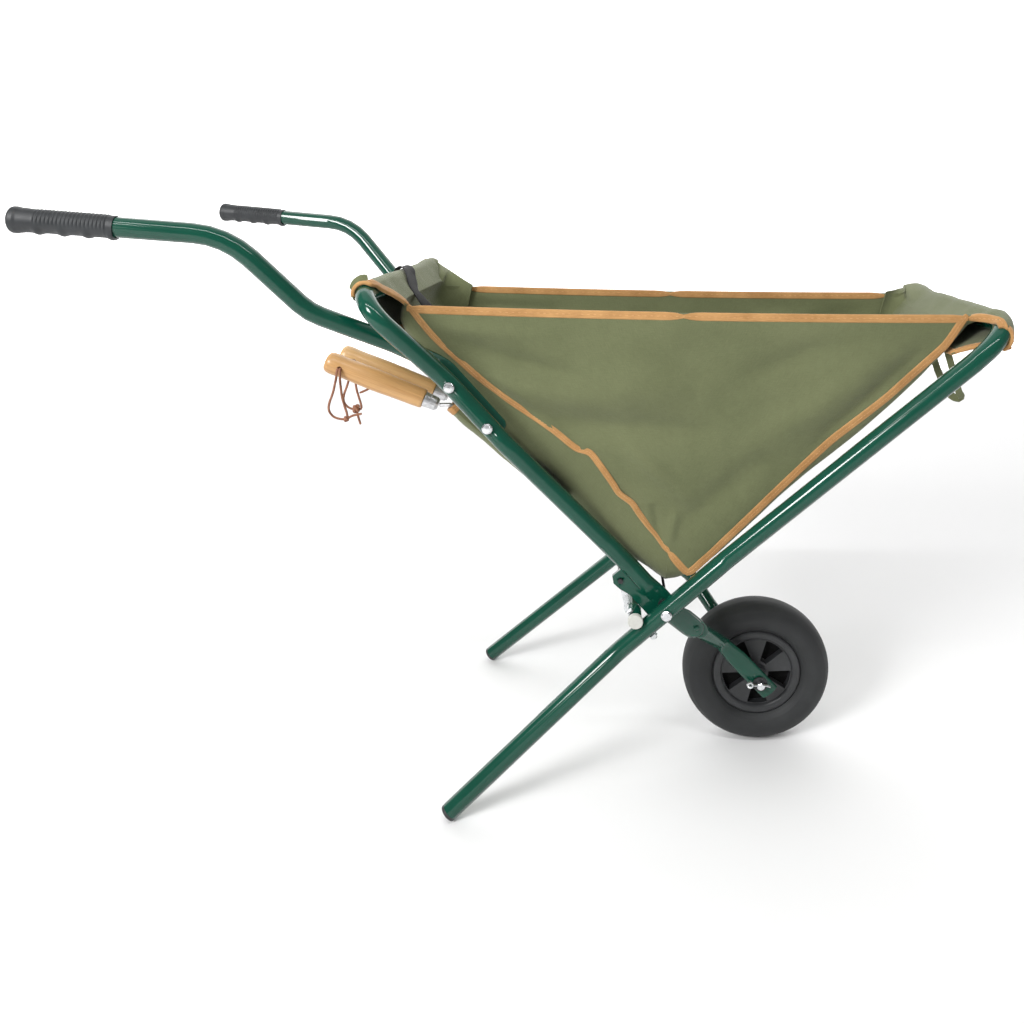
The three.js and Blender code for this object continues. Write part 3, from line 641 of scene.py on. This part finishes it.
PAINTED = ("rear_frame", "leg_frame", "cross_bar", *both("handle_{}", "fork_{}"))
give_material(PAINT, *PAINTED, *both("fork_rivet_{}"))
give_material(ZINC, "axle", *both("split_pin_{}", "bar_bolt_{}", "catch_hook_{}", "pivot_bolt_{}"),
              *both("handle_bolt_{}_upper", "handle_bolt_{}_lower"))
give_material(TOOL_STEEL, "trowel_ferrule", "trowel_blade", "hand_fork_ferrule", "hand_fork_blade")
give_material(BLACK_STEEL, "catch_rod", *both("catch_spring_{}", "pivot_washer_{}", "axle_washer_{}"))
give_material(PLASTIC, "rim", *both("hub_bush_{}", "foot_plug_{}"))
give_material(CAP, *both("bar_cap_{}"))


def round_tubes():
    """Smoothly shaded tubes in place of the flat-sided ones."""
    bodies = {empty: name for name, empty in frame["bodies"].items()}
    for name in PAINTED:
        node = frame["nodes"][name]
        mesh = node.data.copy()
        mesh.materials.clear()
        bm = bmesh.new()
        bm.from_mesh(mesh)
        bmesh.ops.remove_doubles(bm, verts=bm.verts[:], dist=0.01 * MM)
        bm.to_mesh(mesh)
        bm.free()
        mesh.normals_split_custom_set_from_vertices([(0, 0, 0)] * len(mesh.vertices))
        soften(mesh, 30)
        tube = piece(f"{name}_tube", mesh, bodies[node.parent], PAINT, [name],
                     node.matrix_world.copy())
        normals = tube.modifiers.new("normals", "WEIGHTED_NORMAL")
        normals.keep_sharp = True
        normals.weight = 80


round_tubes()


# ---- grips ----
def long_axis(node):
    """The two end middles of a long CAD solid."""
    obj = frame["nodes"][node]
    points = [obj.matrix_world @ v.co for v in obj.data.vertices]
    centre = sum(points, Vector()) / len(points)
    low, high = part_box(node)
    size = high - low
    axis = Vector([1.0 if size[i] == max(size) else 0.0 for i in range(3)])
    for _ in range(60):
        axis = sum(((p - centre) * (p - centre).dot(axis) for p in points), Vector()).normalized()
    reach = [(p - centre).dot(axis) for p in points]
    return centre + axis * min(reach), centre + axis * max(reach)


GRIP_RINGS = {"first": 26, "last": 97, "pitch": 3.9, "depth": 0.45}
FINGERS = {"first": 28, "pitch": 24.4, "count": 4, "depth": 2.6}


def grip_radius(along, under):
    """The grip's radius, `along` millimetres from its closed end; `under` is 1 below and -1 above."""
    shape = [(0, 11.4), (1.2, 13.1), (3, 13.9), (7, 14), (10, 13.3), (17, 13.0), (24, 12.6), (96, 12.6),
             (97.5, 12.1), (106, 12.1)]
    base = shape[-1][1]
    for (x0, r0), (x1, r1) in zip(shape, shape[1:]):
        if x0 <= along <= x1:
            base = mix(r0, r1, (along - x0) / (x1 - x0))
            break
    upper = smooth(0.35, -0.25, under)
    inside = smooth(GRIP_RINGS["first"] - 1, GRIP_RINGS["first"] + 1, along) * smooth(
        GRIP_RINGS["last"] + 1, GRIP_RINGS["last"] - 1, along)
    wave = 0.5 + 0.5 * math.cos(2 * math.pi * (along - GRIP_RINGS["first"]) / GRIP_RINGS["pitch"])
    base += GRIP_RINGS["depth"] * (2 * wave - 1) * upper * inside
    below = smooth(0.1, 0.75, under)
    finger = (along - FINGERS["first"]) / FINGERS["pitch"]
    bump = 0.0
    for k in range(FINGERS["count"]):
        bump += math.exp(-((finger - k) / 0.17) ** 2)
    groove = smooth(8, 16, along) * smooth(100, 94, along)
    return base + below * (FINGERS["depth"] * 0.75 * bump - 0.25 * FINGERS["depth"] * groove)


def make_grips():
    for name in SIDES:
        ends = long_axis(f"grip_{name}")
        closed, opened = sorted(ends, key=lambda p: p.x)
        along = (opened - closed).normalized()
        length = (opened - closed).length / MM
        down = square_to(along, Vector((0, 0, -1)))
        across = along.cross(down)
        spokes = circle(48)
        rows = [[closed + along * (0.02 * MM)] * len(spokes)]
        for i in range(231):
            x = length * i / 230
            radii = [grip_radius(x, c) for c, _ in spokes]
            rows.append([closed + (along * x + (down * c + across * s) * radius) * MM
                         for (c, s), radius in zip(spokes, radii)])
        bore = TUBE + 0.3
        for x in (0, -12):
            rows.append([opened + (along * x + (down * c + across * s) * bore) * MM for c, s in spokes])
        mesh = grid_mesh(f"grip_rubber_{name}", rows, wrap=True)
        piece(f"grip_rubber_{name}", mesh, "wheel_frame", GRIP, [f"grip_{name}"])


# ---- wheel ----
def ring_mesh(name, loop, sides=96, degrees=38):
    """A hollow solid: a closed outline turned about +Y."""
    return soften(turned_mesh(name, [*loop, loop[0]], sides), degrees)


def tyre_outline():
    """The tyre's section: a smooth crown and two faint moulding rings on each wall."""
    wall = [(60.3, 15), (63.5, 18.6), (70, 22.7), (80, 25.2), (90, 21.9), (96.5, 14.5), (99.4, 7), (100, 0)]
    half = spline([Vector((r, y, 0)) for r, y in wall], 46)
    ringed = []
    for p in half:
        lift = sum(0.5 * math.exp(-((p.x - r) / 0.7) ** 2) for r in (64.5, 67.5))
        lift += 0.35 * math.exp(-((p.x - 92) / 0.8) ** 2)
        ringed.append((p.x, p.y + lift))
    return [*ringed, *[(r, -y) for r, y in reversed(ringed[:-1])]]


WINDOWS = {"count": 5, "first": 57, "half": 17, "inner": 16.5, "outer": 46.5}


def wedge_cutter(angle):
    half = math.radians(WINDOWS["half"])
    ring = []
    for radius, turns in ((WINDOWS["inner"], (1, 0, -1)), (WINDOWS["outer"], (-1, -0.5, 0, 0.5, 1))):
        for turn in turns:
            a = math.radians(angle) + turn * half
            ring.append((radius * math.cos(a), radius * math.sin(a)))
    rows = [[Vector((x, y, z)) * MM for x, z in ring] for y in (-40, 40)]
    return cutter(grid_mesh("wedge", rows, wrap=True, caps=True), Matrix.Translation(AXLE))


def make_wheel():
    at_axle = Matrix.Translation(AXLE)
    tyre = ring_mesh("tyre_rubber", tyre_outline(), 128)
    piece("tyre_rubber", tyre, "wheel", TYRE, ["tyre"], at_axle)
    half = [
        (59.9, 14.6), (58.6, 16.2), (57, 16.9), (50.5, 16.9), (48.6, 15.6), (47.4, 12.8), (44, 12.2),
        (18, 13), (13.2, 14), (12, 24.6), (10.6, 26), (8, 26),
    ]
    loop = [*half, *[(r, -y) for r, y in reversed(half)]]
    spokes = ring_mesh("rim_spokes", loop, 96, 30)
    rim = piece("rim_spokes", spokes, "wheel", PLASTIC, ["rim"], at_axle)
    step = 360 / WINDOWS["count"]
    cut_away(rim, *[wedge_cutter(WINDOWS["first"] + step * k) for k in range(WINDOWS["count"])])
    # A near-black disc across the wheel's middle, seen through its windows, stands in for the shade inside
    # the wheel: painted shade.
    shade_disc = [(46.5, 1.5), (46.5, -1.5), (17, -1.5), (17, 1.5)]
    piece("rim_window_shade", ring_mesh("rim_window_shade", shade_disc), "wheel", WINDOW_SHADE, (), at_axle)


# ---- tools ----
def make_handles():
    length = TOOL_LENGTH - FERRULE - 0.3
    outline = [(0, 0), (9, 0.0), (11.2, 0.6), (12.0, 2.6), (12.3, 14), (12.6, 34), (13.4, 62), (13.1, 88),
               (12.9, 104), (13.4, length - 12), (12.8, length - 5), (10.6, length - 1.4), (7, length - 0.2),
               (0, length)]
    for name, tool in TOOLS.items():
        start = tool_socket(tool) + TOOL_HEADING * ((FERRULE + 0.3) * MM)
        rounded = spline([Vector((r, y, 0)) for r, y in outline[2:-1]], 60)
        profile = [outline[0], outline[1], *[(p.x, p.y) for p in rounded], outline[-1]]
        mesh = turned_mesh(f"{name}_wood", profile, 56)
        handle = piece(f"{name}_wood", mesh, name, WOODS[name], [f"{name}_handle"],
                       aimed(start, TOOL_HEADING))
        eye = tool_socket(tool) + TOOL_HEADING * ((TOOL_LENGTH - EYE) * MM)
        bore = turned_mesh("bore", [(0, -20), (4.2, -20), (3.0, -11.6), (3.0, 11.6), (4.2, 20), (0, 20)], 28)
        cut_away(handle, cutter(bore, Matrix.Translation(eye)))


make_grips()
make_wheel()
make_handles()


# ---- the canvas bag ----
CLOTH = 1.3 * MM
BAG_HALF = 118
# Each strip's seam with the side panels and its own middle line, as (r, n) in its frame's plane.
REAR_SEAM = [
    (478, 11.5), (432, 9), (392, 12.5), (353, 17), (315, 24.5), (280, 33.5), (249, 40.5), (217, 46),
    (202, 54.5), (183, 53.5), (155, 50), (141, 48), (122, 51.5), (106, 49.5), (88, 48), (70, 47.5),
    (45.6, 44.5),
]
REAR_MIDDLE = [
    (487, 13), (482, 0), (470, -14), (440, -19), (415, -20), (365, -21), (335, -18), (300, -14),
    (265, -12), (240, -9), (205, -4), (140, -8), (83, -4), (56, 3), (38, 8), (14.3, 14),
]
FRONT_SEAM = [
    (45.6, 44.5), (45.5, 9.5), (69, 7), (110, 9), (155, 11.4), (199, 14), (243, 16.3), (285, 17.5),
    (331, 15), (367, 13.5), (405, 14.5), (434, 15), (456, 16), (482, 23), (496, 26.3),
]
FRONT_MIDDLE = [
    (14.3, 14), (34, 6), (92, 0), (154, 2), (193, 4), (237, 3), (273, 0), (312, -1), (391, 2),
    (446, 8), (487, 13),
]
TOP_SAG = 3.0
BAG_ROWS = 110


def curve_at(plane, points, y, count, tension):
    return spline([plane.at(r, y, n) for r, n in points], count, tension)


def belly(share):
    """How far a point across the panel has come from the middle towards the seam."""
    return 1 - max(0.0, 1 - abs(share) ** 12) ** 0.4


def creased(point, size, scale, seed):
    """A soft, uneven swell of the cloth."""
    where = Vector((point.x, point.y * 1.4, point.z)) * scale + Vector((seed, -seed, seed * 0.7))
    return size * noise.fractal(where, 0.8, 2.1, 3)


def long_panel(plane, seam, centre, rows, tension, swell, seed):
    """The strip that runs down one frame: rows of points from side to side."""
    columns = 28
    middle_line = curve_at(plane, centre, 0, rows, tension)
    seam_line = curve_at(plane, seam, 0, rows, tension)
    grid = []
    for i in range(rows):
        row = []
        for j in range(columns + 1):
            share = math.sin(math.pi / 2 * mix(-1, 1, j / columns))
            p = middle_line[i].lerp(seam_line[i], belly(share)) + ACROSS * (share * BAG_HALF * MM)
            calm = smooth(1.0, 0.8, abs(share)) * smooth(0, 8, i) * smooth(rows - 1, rows - 9, i)
            row.append(p + plane.normal * (creased(p, swell, 9, seed) * calm * MM))
        grid.append(row)
    return grid


# How the cloth on each body would flatten: towards which plane, the fixed depth off it in millimetres, and
# the share of the depth left when folded.
SQUASH = {"wheel_frame": (REAR, 10, 0.1504), "leg_frame": (LEG, 18, 0.1365)}


def fold_away(obj, body):
    """Gives the piece its own copy of its mesh; nothing here flattens it as the barrow folds."""
    plane, anchor, keep = SQUASH[body]
    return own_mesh(obj, "fold", axis=plane.normal, anchor=plane.at(0, 0, anchor), keep=keep)


def cloth_piece(name, rows, body, replaces=(), squashes=True):
    """A sewn piece of the canvas."""
    mesh = grid_mesh(name, rows, CLOTH)
    obj = piece(name, mesh, body, CANVAS, replaces)
    if squashes:
        fold_away(obj, body)
    return obj


# Creases of the side panel: two ends as (x, z) off the pivot in millimetres, half width, outward height.
CREASES = [
    ((-244, 316), (-77, 268), 15, -6.0),
    ((-225, 268), (40, 268), 24, 6.0),
    ((-150, 226), (40, 214), 17, -5.0),
    ((-90, 172), (-10, 80), 12, -4.0),
    ((-14, 118), (-4, 76), 6, -3.0),
    ((10, 110), (4, 76), 7, 2.5),
    ((320, 322), (186, 196), 16, -6.0),
    ((262, 312), (110, 200), 22, 5.0),
    ((210, 330), (90, 280), 16, -3.0),
    ((40, 330), (30, 230), 34, -2.5),
    ((110, 180), (20, 100), 16, -3.0),
    ((-40, 190), (30, 130), 12, 3.0),
    ((-295, 345), (-150, 335), 10, 3.0),
    ((335, 345), (250, 335), 9, 3.5),
]


def side_swell(point, side):
    """How far the side panel stands out at a point, in millimetres."""
    here = Vector((point.x - PIVOT.x, point.z - PIVOT.z)) / MM
    swell = 0.0
    for start, end, width, height in CREASES:
        a, b = Vector(start), Vector(end)
        along = max(0.0, min(1.0, (here - a).dot(b - a) / (b - a).length_squared))
        gap = (here - a.lerp(b, along)).length / width
        swell += 1.7 * height * math.exp(-gap * gap) * math.sin(math.pi * mix(0.18, 0.86, along))
    return swell + 3.0 * noise.fractal(Vector((here.x, here.y, side * 90)) * 0.008, 0.9, 2.1, 3)


def top_edge(side, t):
    """The bag's top edge, from its rear corner (t = 0) to its front corner (t = 1)."""
    y = side * BAG_HALF
    ends = REAR.at(REAR_SEAM[0][0], y, REAR_SEAM[0][1]), LEG.at(FRONT_SEAM[-1][0], y, FRONT_SEAM[-1][1])
    sag = 4 * t * (1 - t) * TOP_SAG
    return ends[0].lerp(ends[1], t) - Vector((0, 0, sag * MM))


def split_share(side):
    """Where the bisector of the two frames meets the top edge."""
    low, high = 0.0, 1.0
    for _ in range(40):
        t = (low + high) / 2
        off = top_edge(side, t) - PIVOT
        if BISECTOR.cross(Vector((off.x, 0, off.z))).y < 0:
            low = t
        else:
            high = t
    return low


def side_panel(side, plane, seam, tension, shares):
    """Half a side panel, between its seam, the bisector and the top edge."""
    y = side * BAG_HALF
    rows, columns = BAG_ROWS, 44
    border = curve_at(plane, seam, y, rows, tension)
    apex = border[0]
    top = [top_edge(side, mix(shares[0], shares[1], j / columns)) for j in range(columns + 1)]
    grid = []
    for i in range(rows):
        t = i / (rows - 1)
        inner = apex.lerp(top[0], t)
        row = []
        for j in range(columns + 1):
            u = j / columns
            flat = inner.lerp(border[i], u) + (top[j] - top[0].lerp(border[-1], u)) * t
            edge = min(1.0, 6 * t) * smooth(0.01, 0.14, 1 - u) * smooth(0.03, 0.13, 1 - t)
            row.append(flat + ACROSS * (side * side_swell(flat, side) * edge * MM))
        grid.append(row)
    return grid


def make_bag():
    rear_rows = long_panel(REAR, REAR_SEAM, REAR_MIDDLE, BAG_ROWS, 0.45, 4.0, 3.1)
    front_rows = long_panel(LEG, FRONT_SEAM, FRONT_MIDDLE, BAG_ROWS, 0.36, 2.0, 7.7)
    cloth_piece("bag_rear_strip", rear_rows, "wheel_frame", ["bag_rear_panel", "bag_bottom"])
    cloth_piece("bag_front_strip", front_rows, "leg_frame", ["bag_front_panel"])
    for name, side in SIDES.items():
        split = split_share(side)
        rear_half = side_panel(side, REAR, REAR_SEAM[::-1], 0.45, (split, 0.0))
        front_half = side_panel(side, LEG, FRONT_SEAM, 0.36, (split, 1.0))
        cloth_piece(f"bag_side_{name}_rear", rear_half, "wheel_frame", [f"bag_side_{name}"])
        cloth_piece(f"bag_side_{name}_front", front_half, "leg_frame")
        bind_side(name, side, rear_half, front_half)
    rear_sleeve = make_sleeve("rear_sleeve", REAR, rear_rows[0], REAR_END)
    front_sleeve = make_sleeve("front_sleeve", LEG, front_rows[-1], FRONT_END)
    make_gusset("rear_gusset", rear_sleeve, 0.062, "wheel_frame", rear_rows[1:20])
    make_gusset("front_gusset", front_sleeve, 0.965, "leg_frame", front_rows[-2:-16:-1])
    return rear_sleeve


# ---- binding tape ----
TAPE_HALF = 5.0
TAPE_THICK = 1.7


def stitches(centres, across, facing, lift):
    """Little rounded threads laid end to end along a tape."""
    pitch, size = 4.2 * MM, 0.42 * MM
    run, parts = 0.0, []
    for a, b, w, f in zip(centres, centres[1:], across, facing):
        step = (b - a).length
        run += step
        if run < pitch:
            continue
        run -= pitch
        ahead = (b - a).normalized()
        parts.append((a + f * lift * MM, ahead, w, f, size))
    return parts


def tape(name, centres, across, facing, body, squashes=True, half=TAPE_HALF, material=TAPE, thick=TAPE_THICK,
         sewn=True):
    """A folded tape along `centres`; `across` is its width direction and `facing` the way its face looks."""
    outline = [(math.copysign(abs(x) ** 0.5, x), math.copysign(abs(z) ** 0.75, z)) for x, z in circle(16)]
    rows = []
    for i, (centre, w, f) in enumerate(zip(centres, across, facing)):
        pucker = 1 + 0.10 * noise.noise(centre * 160)
        groove = thick * pucker * MM
        end = min(i, len(centres) - 1 - i)
        full = (0.45, 0.8, 0.95, 1.0)[min(end, 3)]
        rows.append([centre + w * (x * half * full * MM) + f * (z * groove * (0.72 + 0.28 * x * x))
                     for x, z in outline])
    mesh = grid_mesh(name, rows, wrap=True, caps=True)
    if sewn:
        add_stitches(mesh, [s for lift in (thick * 0.78, -thick * 0.78)
                            for s in stitches(centres, across, facing, lift)])
    obj = piece(name, mesh, body, [material, THREAD])
    if squashes:
        fold_away(obj, body)
    return obj


def add_stitches(mesh, parts):
    bm = bmesh.new()
    bm.from_mesh(mesh)
    for centre, ahead, w, f, size in parts:
        ring = []
        for along, radius in ((-1.7, 0.35), (-0.9, 1.0), (0.9, 1.0), (1.7, 0.35)):
            ring.append([bm.verts.new(centre + ahead * (along * MM) + (w * x + f * z) * (radius * size))
                         for x, z in ((1, 0), (0, 1), (-1, 0), (0, -1))])
        for low, high in zip(ring, ring[1:]):
            for k in range(4):
                bm.faces.new((low[k], low[(k + 1) % 4], high[(k + 1) % 4], high[k])).material_index = 1
        bm.faces.new(ring[0]).material_index = 1
        bm.faces.new(ring[-1][::-1]).material_index = 1
    for face in bm.faces:
        face.smooth = True
    bm.to_mesh(mesh)
    bm.free()
    mesh.set_sharp_from_angle(angle=math.radians(50))


def inward_frames(path, inner, facing, offset=TAPE_HALF - 1.2):
    """Tape centres a little inside an edge, with the directions across and off the tape."""
    centres, across, faces = [], [], []
    for i, p in enumerate(path):
        ahead = heading(path, i)
        inwards = square_to(ahead, inner[i] - p)
        face = facing or ahead.cross(inwards)
        face = (face - ahead * face.dot(ahead) - inwards * face.dot(inwards)).normalized()
        centres.append(p + inwards * (offset * MM))
        across.append(inwards)
        faces.append(face)
    return centres, across, faces


def bind_side(name, side, rear_half, front_half):
    out = ACROSS * side
    for part, rows, body in (("rear", rear_half, "wheel_frame"), ("front", front_half, "leg_frame")):
        # On the far side the gussets cover the ends of the tapes.
        covered = {"right": 0, "left": 5 if part == "rear" else 3}[name]
        shown = slice(0, len(rows[-1]) - covered)
        tape(f"binding_top_{name}_{part}", *inward_frames(rows[-1][shown], rows[-3][shown], out), body)
        sewn = rows[:-5] if name == "left" else rows
        seam = [row[-1] for row in sewn]
        inner = [row[-8] for row in sewn]
        inner[0] = inner[1]
        half = 4.0 if part == "rear" else 4.8
        tape(f"binding_seam_{name}_{part}", *inward_frames(seam, inner, out, 1.6), body, half=half)


# ---- sleeves over the crossbars ----
# For each sleeve: its half width, where the crossbar's corner starts and its radius, the hem's (r, n),
# how far its far end puffs up, and which rows of its near edge are bound.
REAR_END = {
    "body": "wheel_frame", "half": 176, "straight": 182, "corner": 33, "hem": (-54, -23), "seed": 5,
    "puff": 3, "bound": (0, 34),
}
FRONT_END = {
    "body": "leg_frame", "half": 163, "straight": 121, "corner": 44, "hem": (-62, 6), "seed": 2,
    "puff": 8, "bound": (0, 49),
}
LEAD, ARC, TAIL = 8, 28, 12


def sleeve_path(begin, end, centre, radius, i):
    """Point i of a sleeve's section: straight to the tube, round it, and straight back to the hem."""
    away = begin - centre
    first = math.atan2(away.y, away.x) - math.acos(min(1.0, radius / away.length))
    back = end - centre
    last = math.atan2(back.y, back.x) + math.acos(min(1.0, radius / back.length))
    while last > first:
        last -= 2 * math.pi
    touch = [centre + Vector((math.cos(a), math.sin(a))) * radius for a in (first, last)]
    if i < LEAD:
        return begin.lerp(touch[0], i / LEAD)
    if i > LEAD + ARC:
        return touch[1].lerp(end, (i - LEAD - ARC) / TAIL)
    angle = mix(first, last, (i - LEAD) / ARC)
    return centre + Vector((math.cos(angle), math.sin(angle))) * radius


def sleeve_point(plane, start, share, end, i):
    """Where the sleeve's cloth runs, `share` of the way across and i steps round."""
    wide = mix(BAG_HALF, end["half"], smooth(0, LEAD + 3, i))
    wide = mix(wide, BAG_HALF + 4, smooth(LEAD + ARC - 2, LEAD + ARC + TAIL, i))
    y = share * wide
    outer = end["corner"] + TUBE
    reach = min(outer, max(0.0, abs(y) - end["straight"]))
    drop = outer - math.sqrt(outer**2 - reach**2)
    centre = Vector((plane.arm - drop, 0))
    off = start - PIVOT
    begin = Vector((off.dot(plane.along), off.dot(plane.normal))) / MM
    hem = Vector((plane.arm + end["hem"][0], end["hem"][1]))
    flat = sleeve_path(begin, hem, centre, TUBE + 2.4, i)
    p = plane.at(flat.x, y, flat.y)
    over = smooth(0, 5, i) * smooth(LEAD + ARC + TAIL, LEAD + ARC, i)
    lift = 1.3 * noise.fractal(p * 26 + Vector((end["seed"], 0, 0)), 0.8, 2.1, 3)
    lift += 0.9 * math.sin(y / 7.0 + 3 * noise.noise(p * 12)) * smooth(LEAD + 16, LEAD, i)
    lift += end["puff"] * smooth(0.55, 0.9, share) * smooth(0, LEAD, i) * smooth(LEAD + 22, LEAD + 6, i)
    outward = (flat - centre).normalized()
    return p + (plane.along * outward.x + plane.normal * outward.y) * (max(-0.7, lift) * over * MM)


def make_sleeve(node, plane, first, end):
    """The strip's end: it leaves the panel, wraps over the crossbar and comes back to a hem below it."""
    rows = []
    for i in range(LEAD + ARC + TAIL + 1):
        rows.append([sleeve_point(plane, start, start.y / MM / BAG_HALF, end, i) for start in first])
    name, body = f"{node}_cloth", end["body"]
    cloth_piece(name, rows, body, [node], squashes=False)
    edges = {"right": (0, 2, end["bound"]), "left": (-1, -3, (LEAD + 12, LEAD + ARC))}
    for label, (edge, inner, bound) in edges.items():
        path = [row[edge] for row in rows[slice(*bound)]]
        within = [row[inner] for row in rows[slice(*bound)]]
        tape(f"{name}_binding_{label}", *inward_frames(path, within, None), body, squashes=False, thick=3.0)
    tape(f"{name}_hem", *inward_frames(rows[-1], rows[-3], None), body, squashes=False)
    return rows


def make_gusset(name, rows, share, body, strip):
    """The cloth at a far corner of the bag, from the sleeve's end and the strip's edge to the top edge."""
    ridge = [row[-4] for row in [*rows[LEAD + 7::-1], *strip]]
    tip = ridge[0]
    landing = top_edge(1, share) + Vector((0, -9, 3)) * MM
    count = len(ridge)
    grid, plain = [], []
    for j in range(11):
        flat = [p.lerp(tip.lerp(landing, i / (count - 1)), j / 10) for i, p in enumerate(ridge)]
        lift = [math.sin(math.pi * i / (count - 1)) * math.sin(math.pi * j / 10) for i in range(count)]
        plain.append(flat)
        grid.append([p + Vector((0, -0.3, 1)) * (3.0 * MM * up) for p, up in zip(flat, lift)])
    obj = piece(name, grid_mesh(name, grid, CLOTH), body, CANVAS)
    fold_away(obj, body)
    return obj


# ---- pocket for the tools ----
# The pocket's outer wall down its middle, as (r, n) in the rear frame's plane.
POCKET_WALL = [(353, -43.5), (330, -41), (300, -36.5), (265, -32), (237, -28.5), (205, -23.5), (186, -19),
               (179, -11), (176, 1)]
POCKET_HALF = 127
POCKET_COLUMNS = 44


def pocket_rows():
    wall = spline([Vector((r, n, 0)) for r, n in POCKET_WALL], 60)
    middle_line = [Vector((r, n, 0)) for r, n in REAR_MIDDLE[::-1]]
    rows = []
    for i, place in enumerate(wall):
        r = place.x
        back = middle_line[0].y
        for a, b in zip(middle_line, middle_line[1:]):
            if a.x <= r <= b.x:
                back = mix(a.y, b.y, (r - a.x) / (b.x - a.x))
        row = []
        for j in range(POCKET_COLUMNS + 1):
            angle = math.pi * j / POCKET_COLUMNS
            wide = mix(BAG_HALF + 1.0, POCKET_HALF - 5 * smooth(40, 59, i), min(1.0, 5 * math.sin(angle)))
            y = -math.copysign(abs(math.cos(angle)) ** 0.42, math.cos(angle)) * wide
            n = mix(back + 6, place.y, math.sin(angle) ** 0.42 if 0 < j < POCKET_COLUMNS else 0.0)
            p = REAR.at(r, y, n)
            calm = math.sin(angle) * smooth(0, 6, i)
            row.append(p - REAR.normal * ((1.6 * noise.fractal(p * 18, 0.8, 2.1, 3) + 0.6) * calm * MM))
        rows.append(row)
    return rows


def make_pocket():
    rows = pocket_rows()
    cloth_piece("pocket_cloth", rows, "wheel_frame", ["tool_pocket"], squashes=False)
    tape("pocket_mouth_binding", *inward_frames(rows[0], rows[3], None), "wheel_frame", squashes=False)


# ---- straps ----
def ribbon(name, points, across, half, thick, body, material):
    """A strap through a few points; its width is along `across`, or turns from one direction to another."""
    count = 40
    path = spline(points, count)
    widths, faces = [], []
    for i in range(count):
        turn = across[0].lerp(across[1], smooth(0, 0.5, i / count)) if isinstance(across, tuple) else across
        widths.append(square_to(heading(path, i), turn))
        faces.append(heading(path, i).cross(widths[-1]))
    return tape(name, path, widths, faces, body, False, half, material, thick, sewn=False)


def hanging_loop():
    """A loop of webbing under the front sleeve, for hanging the folded barrow up."""
    start = LEG.at(LEG.arm - 58, -104, 9)
    offsets = [(0, 0, 0), (5, 0, -15), (12, 1, -35), (19, 3, -54), (24, 6, -61), (22, 10, -64), (13, 12, -60),
               (3, 12, -44), (-6, 10, -26), (-12, 8, -10), (-15, 6, 2)]
    path = spline([start + Vector(p) * MM for p in offsets], 60)
    widths, faces = [], []
    for i in range(len(path)):
        faces.append(square_to(heading(path, i), Vector((0.25, -1, 0.1))))
        widths.append(heading(path, i).cross(faces[-1]))
    tape("hanging_loop", path, widths, faces, "leg_frame", False, 4.6, CANVAS, 0.9, sewn=False)


def make_straps(rear_sleeve):
    column = 15
    steps = [row[column] for row in rear_sleeve[:LEAD + 20]]
    out = [(p - REAR.at(REAR.arm, p.y / MM)).normalized() for p in steps]
    # Away from the top of the tube the strap curves towards the near side.
    path = [p + o * (2.2 * MM) - ACROSS * (0.09 * MM * (len(steps) - i) ** 2)
            for i, (p, o) in enumerate(zip(steps, out))]
    lower = [REAR.at(r, y, n) for r, y, n in ((432, -60, 8), (448, -58, 11), (465, -56, 14))]
    turning = Vector((0.8, 0.3, -0.5)), ACROSS
    ribbon("sleeve_strap", [*lower, *path[2::4]], turning, 11.5, 0.9, "wheel_frame", WEBBING)
    latch = [REAR.at(2, -107, 2), REAR.at(9, -107, 8), REAR.at(17, -106, 13), REAR.at(25, -104, 18)]
    ribbon("latch_strap", latch, REAR.normal + REAR.along * -1, 1.7, 1.2, "wheel_frame", WEBBING)
    tab = [REAR.at(REAR.arm + r, y, n)
           for r, y, n in ((10, -171, 13), (14, -172, 8), (15, -172, 0), (12, -171, -8))]
    ribbon("corner_tab", tab, REAR.along + ACROSS * 0.3, 6.5, 1.6, "wheel_frame", CANVAS)
    hanging_loop()


REAR_SLEEVE = make_bag()
make_pocket()
make_straps(REAR_SLEEVE)
